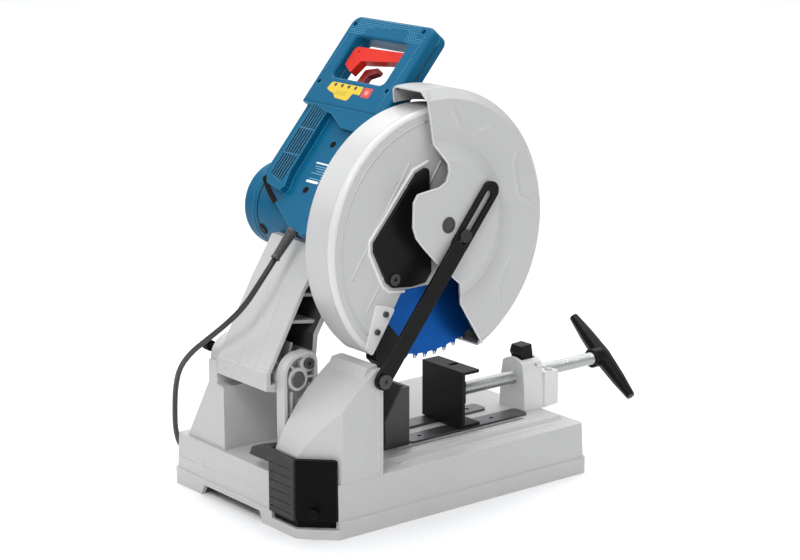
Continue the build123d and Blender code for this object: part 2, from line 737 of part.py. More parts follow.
with BuildPart() as inner_flange:
    with BuildSketch(side(-77)):
        with Locations((BLADE_X, BLADE_Z)):
            Circle(18)
            Circle(ARBOR_R, mode=Mode.SUBTRACT)
    extrude(amount=11)
    with BuildSketch(side(-88)):
        with Locations((BLADE_X, BLADE_Z)):
            Circle(FLANGE_R)
            Circle(ARBOR_R, mode=Mode.SUBTRACT)
    extrude(amount=abs(BLADE_Y) - BLADE_T / 2 - 88)
save(inner_flange, "inner_flange")

with BuildPart() as saw_blade:
    with BuildSketch(side(BLADE_Y + BLADE_T / 2)):
        with Locations((BLADE_X, BLADE_Z)):
            Circle(BLADE_R - 6)
            Circle(ARBOR_R, mode=Mode.SUBTRACT)
            with PolarLocations(BLADE_R - 6, TEETH):
                Polygon((-2, -4), (5.6, -2.6), (6, -0.6), (0.4, 3.2), (-2, 3.2), align=None)
            with PolarLocations(BLADE_R - 16, 6):
                SlotOverall(22, 2, mode=Mode.SUBTRACT)
    extrude(amount=BLADE_T)
save(saw_blade, "saw_blade")

with BuildPart() as outer_flange:
    with BuildSketch(side(BLADE_Y - BLADE_T / 2)):
        with Locations((BLADE_X, BLADE_Z)):
            Circle(FLANGE_R)
            Circle(ARBOR_R, mode=Mode.SUBTRACT)
    extrude(amount=5)
    with BuildSketch(side(-98)):
        with Locations((BLADE_X, BLADE_Z)):
            Circle(14)
            Circle(BOLT_R, mode=Mode.SUBTRACT)
    extrude(amount=5)
save(outer_flange, "outer_flange")

with BuildPart() as arbor_bolt:
    with BuildSketch(side(-80)):
        with Locations((BLADE_X, BLADE_Z)):
            Circle(BOLT_R)
    extrude(amount=24)
    with BuildSketch(side(-103)):
        with Locations((BLADE_X, BLADE_Z)):
            RegularPolygon(9.5, 6)
    extrude(amount=7)
save(arbor_bolt, "arbor_bolt")

# ---------------------------------------------------------------- motor
MOTOR_Y0, MOTOR_Y1, CAP_Y1 = -40.0, 104.0, 140.0

with BuildPart() as motor_housing:
    with BuildSketch(side(MOTOR_Y1)):
        with Locations((MOTOR_X, MOTOR_Z)):
            Circle(MOTOR_R)
    extrude(amount=MOTOR_Y1 - MOTOR_Y0)
    with BuildSketch(side(MOTOR_Y1 + 1)):
        with Locations((MOTOR_X, MOTOR_Z)):
            Circle(MOTOR_R - 4)
    extrude(amount=MOTOR_Y1 - MOTOR_Y0 - 3, mode=Mode.SUBTRACT)
    with BuildSketch(side(0)):
        with Locations((MOTOR_X, MOTOR_Z)):
            Circle(11)
    extrude(amount=60, mode=Mode.SUBTRACT)
save(motor_housing, "motor_housing")

with BuildPart() as motor_end_cap:
    with BuildSketch(side(CAP_Y1)):
        with Locations((MOTOR_X, MOTOR_Z)):
            Circle(MOTOR_R)
    extrude(amount=CAP_Y1 - MOTOR_Y1)
    fillet(motor_end_cap.faces().sort_by(Axis.Y)[-1].edges(), 12)
    with BuildSketch(side(CAP_Y1 - 6)):
        with Locations((MOTOR_X, MOTOR_Z)):
            Circle(MOTOR_R - 12)
    extrude(amount=60, mode=Mode.SUBTRACT)
    with BuildSketch(side(CAP_Y1 + 1)):
        with Locations((MOTOR_X, MOTOR_Z)):
            with PolarLocations(27, 10):
                SlotOverall(22, 4)
    extrude(amount=10, mode=Mode.SUBTRACT)
    # seat of the rear rotor bearing
    with BuildSketch(side(CAP_Y1 - 6)):
        with Locations((MOTOR_X, MOTOR_Z)):
            Circle(14)
            Circle(11, mode=Mode.SUBTRACT)
    extrude(amount=10)
save(motor_end_cap, "motor_end_cap")

BEARINGS = [  # centre, start, length, bore radius, outer radius
    (BLADE_X, BLADE_Z, GEARBOX_FAR - 5, 3, 10, 14),
    (BLADE_X, BLADE_Z, GEARBOX_LID - 1, 10, 10, 14),
    (MOTOR_X, MOTOR_Z, MOTOR_Y0 + 3, 3, 5, 11),
    (MOTOR_X, MOTOR_Z, CAP_Y1 - 8, 8, 5, 11),
]

with BuildPart() as ball_bearings:
    for x, z, y, length, bore, outer in BEARINGS:
        with BuildSketch(side(y)):
            with Locations((x, z)):
                Circle(outer)
                Circle(bore + FIT, mode=Mode.SUBTRACT)
        extrude(amount=length)
save(ball_bearings, "ball_bearings")

with BuildPart() as stator:
    with BuildSketch(side(80)):
        with Locations((MOTOR_X, MOTOR_Z)):
            Circle(MOTOR_R - 4)
            Circle(28.5, mode=Mode.SUBTRACT)
    extrude(amount=60)
save(stator, "stator")

with BuildPart() as rotor:
    # armature, commutator and shaft in one
    with BuildSketch(Plane.XY.offset(MOTOR_Z)):
        with BuildLine():
            Polyline((MOTOR_X, 133), (MOTOR_X + 5, 133), (MOTOR_X + 5, 115), (MOTOR_X + 17, 115),
                     (MOTOR_X + 17, 92), (MOTOR_X + 11, 92), (MOTOR_X + 11, 82), (MOTOR_X + 27.8, 82),
                     (MOTOR_X + 27.8, 18), (MOTOR_X + 10, 18), (MOTOR_X + 10, 0), (MOTOR_X + 5, -4),
                     (MOTOR_X + 5, -48), (MOTOR_X, -48), close=True)
        make_face()
    revolve(axis=Axis((MOTOR_X, 0, MOTOR_Z), (0, 1, 0)))
save(rotor, "rotor")

with BuildPart() as cooling_fan:
    with BuildSketch(side(-10)):
        with Locations((MOTOR_X, MOTOR_Z)):
            Circle(42)
            Circle(5, mode=Mode.SUBTRACT)
    extrude(amount=2)
    with BuildSketch(side(-12)):
        with Locations((MOTOR_X, MOTOR_Z)):
            with PolarLocations(28, 12):
                Rectangle(26, 2)
            Circle(9)
            Circle(5, mode=Mode.SUBTRACT)
    extrude(amount=14)
save(cooling_fan, "cooling_fan")

with BuildPart() as pinion:
    with BuildSketch(side(-48.3)):
        with Locations((MOTOR_X, MOTOR_Z)):
            Polygon(*gear_outline(PINION_TEETH, MOTOR_LEAN), align=None)
    extrude(amount=13.5)
save(pinion, "pinion")

with BuildPart() as brush_holders:
    for turn in (25, 205):
        with BuildSketch(Plane(origin=(MOTOR_X, 98.5, MOTOR_Z),
                               z_dir=(cos(radians(turn)), 0, sin(radians(turn)))).offset(17.5)):
            Rectangle(8, 10)
        extrude(amount=26)
save(brush_holders, "brush_holders")

# ---------------------------------------------------------------- handle
LOOP_U0, LOOP_U1 = 337.0, 470.0       # handle loop, up the slab
GAP_Y0, GAP_Y1 = -29.0, 75.0          # finger gap
GAP_U0, GAP_U1 = 379.0, 441.0
LOOP_MID = -(SLAB_Y0 + SLAB_Y1) / 2
LOOP_WIDE = SLAB_Y1 - SLAB_Y0

with BuildPart() as barrel_room:
    # room that the housings leave for the motor barrel and its cap
    with BuildSketch(side(CAP_Y1 + 2)):
        with Locations((MOTOR_X, MOTOR_Z)):
            Circle(MOTOR_R + 0.1)
    extrude(amount=CAP_Y1 - MOTOR_Y0 + 2.1)
    with BuildSketch(side(MOTOR_Y0)):
        with Locations((MOTOR_X, MOTOR_Z)):
            Circle(MOTOR_LOBE + 0.2)
        with Locations((BLADE_X, BLADE_Z)):
            Circle(GEAR_LOBE + 0.2)
        with Locations((-32, 343)):
            Rectangle(62.4, 100.4)
    extrude(amount=30)


BOOT_LONG = 42.0
BOOT_TILT = radians(41)
BOOT_EXIT = Vector(-145.0, -14.0, 349.5)
boot_dir = Vector(-sin(BOOT_TILT), 0, -cos(BOOT_TILT))
CORD_START = BOOT_EXIT + boot_dir * BOOT_LONG

with BuildPart() as boot_room:
    with BuildSketch(Plane(origin=BOOT_EXIT, z_dir=boot_dir)):
        Circle(7.5)
    extrude(amount=30)


def loop_outline():
    """Outline of the handle loop with its finger gap, in a slab sketch."""
    with Locations((LOOP_MID, (LOOP_U0 + LOOP_U1) / 2)):
        RectangleRounded(LOOP_WIDE, LOOP_U1 - LOOP_U0, 14)
    with Locations((LOOP_MID, LOOP_U0 + 10)):
        Rectangle(LOOP_WIDE, 20)
    with Locations((-(GAP_Y0 + GAP_Y1) / 2, (GAP_U0 + GAP_U1) / 2)):
        RectangleRounded(GAP_Y1 - GAP_Y0, GAP_U1 - GAP_U0, 8, mode=Mode.SUBTRACT)


def slab_faces(builder):
    """Faces parallel to the slab, from its front to its rear."""
    across = slab(0)
    return builder.faces().filter_by(across).sort_by(lambda f: f.center().dot(across.z_dir))


SCREW_SPOTS = [(-91, 457), (43, 461), (-91, 368), (43, 372), (-8, 292), (24, 293), (-6, 225), (24, 226)]

with BuildPart() as rear_shell:
    # loop half towards the rear
    with BuildSketch(slab(SLAB_SPLIT)):
        loop_outline()
    extrude(amount=SLAB_FACE - SLAB_SPLIT)
    fillet(slab_faces(rear_shell)[-1].edges(), 4)
    # lower body over the motor
    with BuildSketch(slab(318)):
        with BuildLine():
            Polyline((-101, 337), (-101, 232), (-96, 222), (-46, 198), (6, 172), (34, 168), (58, 176),
                     (62, 337), close=True)
        make_face()
    extrude(amount=21)
    # raised panel below the loop and raised vent block
    with BuildSketch(slab(339)):
        with BuildLine():
            Polyline((-101, 345), (-101, 337), (-34, 328), (0, 312), (29, 311), (59, 338), (59, 345),
                     close=True)
        make_face()
        with BuildLine():
            Polyline((-79, 345), (-79, 226), (-72, 218), (-40, 212), (-36, 220), (-42, 240), (-44, 330),
                     (-34, 345), close=True)
        make_face()
    extrude(amount=SLAB_FACE - 341)
    # vent slots
    with BuildSketch(slab(SLAB_FACE - 12)):
        for i in range(6):
            with Locations((-73.5 + i * 5.2, 283 - i * 1.2)):
                SlotOverall(106, 2.8, rotation=90)
    extrude(amount=20, mode=Mode.SUBTRACT)
    # screw recesses
    with BuildSketch(slab(330)):
        with Locations(*SCREW_SPOTS):
            Circle(3.6)
    extrude(amount=40, mode=Mode.SUBTRACT)
    with BuildSketch(slab(SLAB_SPLIT - 1)):
        with Locations((-25, 456)):
            Rectangle(60, 16)
    extrude(amount=9, mode=Mode.SUBTRACT)
    add(barrel_room.part, mode=Mode.SUBTRACT)
    add(boot_room.part, mode=Mode.SUBTRACT)
save(rear_shell, "rear_shell")

with BuildPart() as front_shell:
    with BuildSketch(slab(SLAB_FRONT)):
        loop_outline()
    extrude(amount=SLAB_SPLIT - SLAB_FRONT)
    fillet(slab_faces(front_shell)[0].edges(), 4)
    # neck down the front of the motor
    with BuildSketch(slab(286)):
        with BuildLine():
            Polyline((-84, 372), (-84, 250), (38, 250), (38, 372), close=True)
        make_face()
    extrude(amount=SLAB_FRONT - 286, taper=-4)
    with BuildSketch(slab(317.9)):
        with BuildLine():
            Polyline((-102, 337), (-102, 160), (64, 160), (64, 337), close=True)
        make_face()
    extrude(amount=30, mode=Mode.SUBTRACT)
    with BuildSketch(slab(SLAB_SPLIT - 9)):
        with Locations((-25, 456)):
            Rectangle(60, 16)
    extrude(amount=10, mode=Mode.SUBTRACT)
    with BuildSketch(slab(330)):
        with Locations(*SCREW_SPOTS):
            Circle(3.6)
    extrude(amount=40, mode=Mode.SUBTRACT)
    add(barrel_room.part, mode=Mode.SUBTRACT)
save(front_shell, "front_shell")

with BuildPart() as power_switch:
    with BuildSketch(slab(SLAB_SPLIT - 8)):
        with Locations((-25, 456)):
            Rectangle(52, 14)
    extrude(amount=15)
save(power_switch, "power_switch")

with BuildPart() as housing_screws:
    with BuildSketch(slab(330)):
        with Locations(*SCREW_SPOTS):
            Circle(3.6)
            RegularPolygon(1.6, 6, mode=Mode.SUBTRACT)
    extrude(amount=6)
save(housing_screws, "housing_screws")

TRIGGER_N = 334.0                     # front face of the trigger bar

with BuildPart() as trigger_bar:
    # bar across the finger gap
    with BuildSketch(slab(TRIGGER_N)) as bar:
        with BuildLine():
            Polyline((27, 417), (27, 431), (-66, 428.5), (-71, 424), (-71, 401), (-52, 391), (-45, 409),
                     close=True)
        make_face()
        fillet(bar.vertices(), 2)
    extrude(amount=11)
    with BuildSketch(slab(TRIGGER_N - 1)):
        with Locations((-60, 422)):
            Circle(1.6)
    extrude(amount=20, mode=Mode.SUBTRACT)
save(trigger_bar, "trigger_bar")

with BuildPart() as lock_off:
    # hooked lock-off slide in front of the trigger bar
    with BuildSketch(slab(TRIGGER_N - 8.5)) as hook:
        with BuildLine():
            Polyline((-43, 404), (-22, 409.5), (-17, 408), (-17, 403), (-31, 396), (-33, 379.6), (-46, 379.6),
                     close=True)
        make_face()
        fillet(hook.vertices(), 1.5)
    extrude(amount=8)
save(lock_off, "lock_off")

with BuildPart() as spindle_lock:
    # push button in the rim of the gearbox
    with BuildSketch(Plane(origin=lock_axis, z_dir=lock_dir).offset(LOCK_SEAT)):
        Circle(LOCK_BUTTON_R)
    extrude(amount=10)
save(spindle_lock, "spindle_lock")

# ---------------------------------------------------------------- guards
GUARD_EDGE = [(-62, 283), (-82, 251), (-98, 227), (-109, 207), (-140, 120), (-400, 120), (-400, 700),
              (400, 700), (400, 570), (100, 395), (60, 330), (6, 284)]

with BuildPart() as guard_window:
    with BuildSketch(side(0)):
        with BuildLine():
            Polyline(*GUARD_EDGE, close=True)
        make_face()
    extrude(amount=200)

with BuildPart() as fixed_guard:
    # dished ring and two walls round the rear of the blade
    with BuildSketch(Plane(origin=(BLADE_X, 0, BLADE_Z), x_dir=(1, 0, 0), z_dir=(0, 0, 1))):
        with BuildLine():
            Polyline((26, GUARD_FAR), (GUARD_R, GUARD_FAR), (GUARD_R, GUARD_NEAR + 6),
                     (GUARD_R - 5, GUARD_NEAR), (0, GUARD_NEAR), (0, GUARD_NEAR + GUARD_T),
                     (GUARD_R - 6, GUARD_NEAR + GUARD_T), (GUARD_R - GUARD_T, GUARD_NEAR + 7),
                     (GUARD_R - GUARD_T, GUARD_FAR - GUARD_T), (26, GUARD_FAR - GUARD_T), close=True)
        make_face()
    revolve(axis=Axis((BLADE_X, 0, BLADE_Z), (0, 1, 0)))
    add(guard_window.part, mode=Mode.INTERSECT)
    with BuildSketch(side(GUARD_NEAR + 5)):
        with Locations((SWING_X, SWING_Z)):
            Circle(8)
    extrude(amount=10, mode=Mode.SUBTRACT)
save(fixed_guard, "fixed_guard")

with BuildPart() as access_cover:
    with BuildSketch(side(GUARD_NEAR)) as cover_plan:
        with BuildLine():
            Polyline((-24, 431), (-42, 424), (-107, 347), (-107, 336), (-88, 296), (-80, 289), (-51, 286),
                     (-29, 288), (-20, 300), (-20, 345), (-22, 375), close=True)
        make_face()
        fillet(cover_plan.vertices(), 5)
    extrude(amount=4)
save(access_cover, "access_cover")

with BuildPart() as guard_bracket:
    with BuildSketch(side(GUARD_NEAR)) as tab:
        with BuildLine():
            Polyline((-103, 271), (-86, 267), (-75, 262), (-98, 227), (-110, 209), (-119, 219), (-112, 242),
                     close=True)
        make_face()
        fillet(tab.vertices(), 3)
    extrude(amount=2.5)
save(guard_bracket, "guard_bracket")

with BuildPart() as guard_screws:
    # one screw in the access cover and two in the bracket
    with BuildSketch(side(GUARD_NEAR - 4)):
        with Locations((-77, 299)):
            Circle(7)
            RegularPolygon(2.6, 6, mode=Mode.SUBTRACT)
    extrude(amount=2.4)
    with BuildSketch(side(GUARD_NEAR - 2.5)):
        with Locations((-90, 258), (-103, 238)):
            Circle(3.6)
            RegularPolygon(1.8, 6, mode=Mode.SUBTRACT)
    extrude(amount=3)
save(guard_screws, "guard_screws")

with BuildPart() as chip_guide:
    # black chip deflector under the guard's lower end
    with BuildSketch(side(-99)) as deflector:
        with BuildLine():
            Polyline((-100, 226), (-84, 247), (-66, 226), (-70, 190), (-84, 184), (-100, 200), close=True)
        make_face()
        fillet(deflector.vertices(), 3)
    extrude(amount=20)
    with BuildSketch(side(-102)):
        with Locations((-86, 208)):
            Rectangle(18, 22)
    extrude(amount=14, mode=Mode.SUBTRACT)
save(chip_guide, "chip_guide")

with BuildPart() as guard_hinge_bolt:
    with BuildSketch(side(GUARD_NEAR + 2)):
        with Locations((SWING_X, SWING_Z)):
            Circle(8)
    extrude(amount=GUARD_NEAR + 2 - BOSS_NEAR + 0.1)
    with BuildSketch(side(BOSS_NEAR - 0.1)):
        with Locations((SWING_X, SWING_Z)):
            Circle(10)
            RegularPolygon(4, 6, mode=Mode.SUBTRACT)
    extrude(amount=0.5)
save(guard_hinge_bolt, "guard_hinge_bolt")

SWING_EDGE = [(-36, 600), (-33, 527), (-31, 505), (-23, 457), (-11, 433), (-10, 424), (-14, 413), (-26, 407),
              (-58, 403), (-64, 394), (-65, 364), (-60, 350), (-50, 338), (-31, 318), (8, 285), (20, 266),
              (21, 254), (58, 195), (80, 160), (400, 160), (400, 600)]

with BuildPart() as swing_window:
    with BuildSketch(side(0)):
        with BuildLine():
            Polyline(*SWING_EDGE, close=True)
        make_face()
    extrude(amount=200)

with BuildPart() as hub_boss:
    # dished hub of the swing guard
    with BuildSketch(Plane(origin=(SWING_X, 0, SWING_Z), x_dir=(1, 0, 0), z_dir=(0, 0, 1))):
        with BuildLine():
            Polyline((0, BOSS_NEAR), (78, BOSS_NEAR), (100, SWING_NEAR), (100, SWING_NEAR + SWING_T),
                     (98, SWING_NEAR + SWING_T), (77, BOSS_NEAR + SWING_T), (0, BOSS_NEAR + SWING_T),
                     close=True)
        make_face()
    revolve(axis=Axis((SWING_X, 0, SWING_Z), (0, 1, 0)))

with BuildPart() as swing_guard:
    with BuildSketch(Plane(origin=(RIM_X, 0, RIM_Z), x_dir=(1, 0, 0), z_dir=(0, 0, 1))):
        with BuildLine():
            Polyline((152, SWING_FAR), (RIM_R - 5, SWING_FAR), (RIM_R, SWING_FAR - 5), (RIM_R, -120),
                     (161, SWING_NEAR), (0, SWING_NEAR), (0, SWING_NEAR + SWING_T),
                     (160.2, SWING_NEAR + SWING_T),
                     (RIM_R - SWING_T, -119.2), (RIM_R - SWING_T, SWING_FAR - 5.8),
                     (RIM_R - 5.8, SWING_FAR - SWING_T), (152, SWING_FAR - SWING_T), close=True)
        make_face()
    revolve(axis=Axis((RIM_X, 0, RIM_Z), (0, 1, 0)))
    with BuildSketch(side(SWING_NEAR + 5)):
        with Locations((SWING_X, SWING_Z)):
            Circle(97)
    extrude(amount=10, mode=Mode.SUBTRACT)
    add(hub_boss.part)
    add(swing_window.part, mode=Mode.INTERSECT)
    # hinge boss and its bore
    with BuildSketch(side(SWING_NEAR + SWING_T)):
        with Locations((SWING_X, SWING_Z)):
            Circle(15)
    extrude(amount=SWING_NEAR + SWING_T - BOSS_NEAR)
    with BuildSketch(side(-100)):
        with Locations((SWING_X, SWING_Z)):
            Circle(8 + FIT)
    extrude(amount=60, mode=Mode.SUBTRACT)
    with BuildSketch(side(BOSS_NEAR + 8)):
        with Locations((SLOT_X, SLOT_Z)):
            Circle(7)
    extrude(amount=8)
    with BuildSketch(side(-130)):
        with Locations((SLOT_X, SLOT_Z)):
            Circle(3.5)
    extrude(amount=30, mode=Mode.SUBTRACT)
save(swing_guard, "swing_guard")

with BuildPart() as drive_pin:
    with BuildSketch(side(BOSS_NEAR + 6)):
        with Locations((SLOT_X, SLOT_Z)):
            Circle(3.5)
    extrude(amount=13)
    with BuildSketch(side(-152.1)):
        with Locations((SLOT_X, SLOT_Z)):
            Circle(8)
    extrude(amount=3)
save(drive_pin, "drive_pin")

lever_dir = Vector(SLOT_X - LEVER_X, 0, SLOT_Z - LEVER_Z)
LEVER_LONG = lever_dir.length
SLOT_SHIFT = -1.7


def lever_plane(y):
    return Plane(origin=(LEVER_X, y, LEVER_Z), x_dir=lever_dir.normalized(), z_dir=(0, -1, 0))


with BuildPart() as link_lever:
    # flat bar, joggled inwards where it carries the slot
    with BuildSketch(lever_plane(LEVER_Y)):
        with Locations(((LEVER_LONG - 20.5) / 2, 0)):
            SlotOverall(LEVER_LONG + 1.5, 22)
        Circle(5 + FIT, mode=Mode.SUBTRACT)
    extrude(amount=LEVER_T)
    with BuildSketch(lever_plane(LEVER_Y + JOGGLE)):
        with Locations((LEVER_LONG + 26, SLOT_SHIFT)):
            SlotOverall(102, 24)
    extrude(amount=LEVER_T)
    with BuildSketch(lever_plane(LEVER_Y + 5)):
        with Locations((LEVER_LONG + 27, SLOT_SHIFT)):
            SlotOverall(76, 11)
    extrude(amount=12, mode=Mode.SUBTRACT)
save(link_lever, "link_lever")

# ================================================================ CORD
with BuildPart() as cord_boot:
    # tapered strain relief
    with BuildSketch(Plane(origin=BOOT_EXIT + boot_dir * 4, z_dir=boot_dir)):
        Circle(7)
    with BuildSketch(Plane(origin=CORD_START, z_dir=boot_dir)):
        Circle(5)
    loft()
    with BuildSketch(Plane(origin=BOOT_EXIT, z_dir=boot_dir)):
        Circle(7.5)
    extrude(amount=4)
save(cord_boot, "cord_boot")

FLOOR_LIE = CORD_D / 2
COIL_X, COIL_Y = 78.0, 252.0
COIL_R = 38.5                         # middle of the turns
COIL_BAND, COIL_HIGH = 21.0, 20.0

# from the boot round the rear of the base, down to the bench and along behind it
ROUTE = [
    tuple(CORD_START),
    tuple(CORD_START + boot_dir * 30),
    (-208, 0, 262),
    (-217, 26, 236),
    (-224, 58, 211),
    (-227, 92, 187),
    (-224, 124, 159),
    (-214, 150, 126),
    (-203, 170, 90),
    (-192, 187, 54),
    (-174, 203, 24),
    (-146, 215, 7),
    (-110, 219, FLOOR_LIE),
    (-72, 213, FLOOR_LIE + 0.3),
    (-34, 203, FLOOR_LIE),
    (6, 198, FLOOR_LIE + 0.2),
    (44, 204, FLOOR_LIE),
    (70, 213, 5),
]


def bend_radii(points):
    """Largest arc radius at each corner that its two runs leave room for."""
    corners = [Vector(*p) for p in points]
    radii = []
    for before, at, after in zip(corners, corners[1:], corners[2:]):
        turn = radians((at - before).get_angle(after - at))
        run = min((at - before).length, (after - at).length)
        radii.append(0.45 * run / tan(turn / 2))
    return radii


def cord_tube(points, radii, diameter):
    start = Vector(*points[0])
    with BuildPart() as tube:
        with BuildLine() as path:
            FilletPolyline(*points, radius=radii)
        with BuildSketch(Plane(origin=start, z_dir=Vector(*points[1]) - start)):
            Circle(diameter / 2)
        sweep(path=path.wires()[0])
    length = sum(edge.length for edge in path.edges())
    filled = tube.part.volume / (pi * diameter ** 2 / 4 * length)
    print("cord length", round(length, 1), "filled", round(filled, 4))
    return tube


run_radii = bend_radii(ROUTE)
print("cord bend radii", [round(r) for r in run_radii])
cord_run = cord_tube(ROUTE, run_radii, CORD_D)
save(cord_run, "cord_run")

# from the coil to the plug that lies beside it
TAIL = [(119, 232, 8), (125, 257, 9), (139, 279, 13), (160, 294, 18.5)]

tail_radii = bend_radii(TAIL)
print("tail bend radii", [round(r) for r in tail_radii])
cord_tail = cord_tube(TAIL, tail_radii, CORD_D)
save(cord_tail, "cord_tail")

plug_dir = (Vector(*TAIL[-1]) - Vector(TAIL[-2][0], TAIL[-2][1], TAIL[-1][2])).normalized()
plug_back = Plane(origin=TAIL[-1], z_dir=plug_dir)

with BuildPart() as mains_plug:
    # round two-pin plug lying on its side
    with BuildSketch(plug_back):
        Circle(6)
    with BuildSketch(plug_back.offset(14)):
        Circle(9)
    with BuildSketch(plug_back.offset(22)):
        Circle(18)
    loft(ruled=True)
    with BuildSketch(plug_back.offset(22)):
        Circle(18)
    extrude(amount=16)
    with BuildSketch(plug_back.offset(38)):
        with GridLocations(19, 1, 2, 1):
            Circle(2.4)
    extrude(amount=19)
save(mains_plug, "mains_plug")

with BuildPart() as cord_coil:
    # outer shape of the put-away turns
    with BuildSketch(Plane(origin=(COIL_X, COIL_Y, 0), x_dir=(1, 0, 0), z_dir=(0, -1, 0))):
        with Locations((COIL_R, COIL_HIGH / 2)):
            RectangleRounded(COIL_BAND, COIL_HIGH, 5)
    revolve(axis=Axis((COIL_X, COIL_Y, 0), (0, 0, 1)))
save(cord_coil, "cord_coil")
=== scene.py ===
"""Looks of the bench metal-cutting chop saw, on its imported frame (metres)."""

import json
from functools import partial
from math import cos, pi, radians, sin, sqrt

import bmesh
import bpy
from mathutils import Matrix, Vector


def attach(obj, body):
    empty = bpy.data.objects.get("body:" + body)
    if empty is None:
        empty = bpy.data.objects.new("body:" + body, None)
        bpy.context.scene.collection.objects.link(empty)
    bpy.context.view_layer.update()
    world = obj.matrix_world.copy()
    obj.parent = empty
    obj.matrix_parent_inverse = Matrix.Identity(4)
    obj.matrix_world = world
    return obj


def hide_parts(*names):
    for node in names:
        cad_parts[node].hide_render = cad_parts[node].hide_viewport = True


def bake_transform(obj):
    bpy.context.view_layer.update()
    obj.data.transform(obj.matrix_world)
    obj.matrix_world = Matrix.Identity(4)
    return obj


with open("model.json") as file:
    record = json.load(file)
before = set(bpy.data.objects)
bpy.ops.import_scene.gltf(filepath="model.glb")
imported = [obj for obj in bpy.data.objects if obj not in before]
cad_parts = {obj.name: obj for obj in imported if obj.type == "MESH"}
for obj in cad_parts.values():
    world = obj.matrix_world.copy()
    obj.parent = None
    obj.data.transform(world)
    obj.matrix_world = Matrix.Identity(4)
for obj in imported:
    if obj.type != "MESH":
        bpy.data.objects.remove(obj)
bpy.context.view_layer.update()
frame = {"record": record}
MM = 0.001
EDGE_ROUNDING = 0.0009


# ------------------------------------------------------------ camera, light and floor
def add_camera():
    """The camera stands where the photo's perspective puts it, and looks against back."""
    back = Vector((-0.606, -0.7582, 0.2404))
    data = bpy.data.cameras.new("camera")
    data.lens = 99.0
    data.sensor_width = 36.0
    data.clip_end = 20.0
    camera = bpy.data.objects.new("camera", data)
    camera.location = (-1.6668, -2.1254, 0.9313)
    camera.rotation_euler = back.to_track_quat("Z", "Y").to_euler()
    bpy.context.collection.objects.link(camera)
    bpy.context.scene.camera = camera


def add_area(name, place, target, size, power, tint=(1, 1, 1)):
    data = bpy.data.lights.new(name, "AREA")
    data.shape = "RECTANGLE"
    data.size = size[0]
    data.size_y = size[1]
    data.energy = power
    data.color = tint
    lamp = bpy.data.objects.new(name, data)
    lamp.location = place
    lamp.rotation_euler = (Vector(place) - Vector(target)).to_track_quat("Z", "Y").to_euler()
    bpy.context.collection.objects.link(lamp)


def add_studio():
    """Soft key over the rear corner on the blade side, weak fills, and a well lit floor behind."""
    middle = (0, 0, 0.3)
    add_area("key_light", (-2.0, -1.3, 2.5), middle, (0.9, 1.1), 46)
    add_area("fill_light", (1.2, -2.6, 1.2), middle, (1.6, 1.6), 6)
    add_area("rear_light", (-1.4, 1.9, 1.7), middle, (1.2, 1.4), 9)
    add_area("top_light", (0.1, 0.1, 2.6), middle, (1.6, 1.6), 26)
    add_area("backdrop_light", (2.3, 2.8, 3.2), (2.3, 2.8, 0), (5.0, 5.0), 150)
    world = bpy.data.worlds.new("studio")
    world.use_nodes = True
    world.node_tree.nodes["Background"].inputs["Color"].default_value = (0.93, 0.95, 1.0, 1)
    world.node_tree.nodes["Background"].inputs["Strength"].default_value = 0.50
    bpy.context.scene.world = world
    bpy.context.scene.view_settings.view_transform = "Standard"


# ------------------------------------------------------------ mesh helpers
def mesh_object(name, verts, faces, material, smooth=False):
    """A closed mesh from points in metres, with its faces turned outwards."""
    mesh = bpy.data.meshes.new(name)
    mesh.from_pydata(verts, [], faces)
    work = bmesh.new()
    work.from_mesh(mesh)
    bmesh.ops.recalc_face_normals(work, faces=work.faces)
    work.to_mesh(mesh)
    work.free()
    if smooth:
        mesh.polygons.foreach_set("use_smooth", [True] * len(mesh.polygons))
    mesh.materials.append(material)
    obj = bpy.data.objects.new(name, mesh)
    bpy.context.collection.objects.link(obj)
    return obj


def ring_faces(rings, sides):
    """Faces between successive rings of points, and a cap on the first and the last ring."""
    faces = []
    for i in range(rings - 1):
        for k in range(sides):
            j = (k + 1) % sides
            faces.append((i * sides + k, i * sides + j, (i + 1) * sides + j, (i + 1) * sides + k))
    faces.append(tuple(range(sides)))
    faces.append(tuple(range((rings - 1) * sides, rings * sides)))
    return faces


def piece(name, verts, faces, material, body, smooth=False):
    """A new mesh piece from points in millimetres."""
    obj = mesh_object(name, [Vector(v) * MM for v in verts], faces, material, smooth)
    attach(obj, body)
    return obj


# ------------------------------------------------------------ materials
def node(tree, kind, **settings):
    made = tree.nodes.new(kind)
    for key, value in settings.items():
        if key in made.inputs:
            made.inputs[key].default_value = value
        else:
            setattr(made, key, value)
    return made


def noise(tree, coords, scale, detail=3.0, stretch=(1, 1, 1)):
    mapping = node(tree, "ShaderNodeMapping")
    mapping.inputs["Scale"].default_value = stretch
    tree.links.new(coords, mapping.inputs["Vector"])
    made = node(tree, "ShaderNodeTexNoise", Scale=scale, Detail=detail)
    tree.links.new(mapping.outputs["Vector"], made.inputs["Vector"])
    return made.outputs["Fac"]


def blend_colors(tree, factor, low, high):
    mix = node(tree, "ShaderNodeMix", data_type="RGBA")
    tree.links.new(factor, mix.inputs["Factor"])
    mix.inputs[6].default_value = (*low, 1)
    mix.inputs[7].default_value = (*high, 1)
    return mix


def remap(tree, factor, low, high, out_low, out_high):
    made = node(tree, "ShaderNodeMapRange")
    made.inputs["From Min"].default_value = low
    made.inputs["From Max"].default_value = high
    made.inputs["To Min"].default_value = out_low
    made.inputs["To Max"].default_value = out_high
    tree.links.new(factor, made.inputs["Value"])
    return made.outputs["Result"]


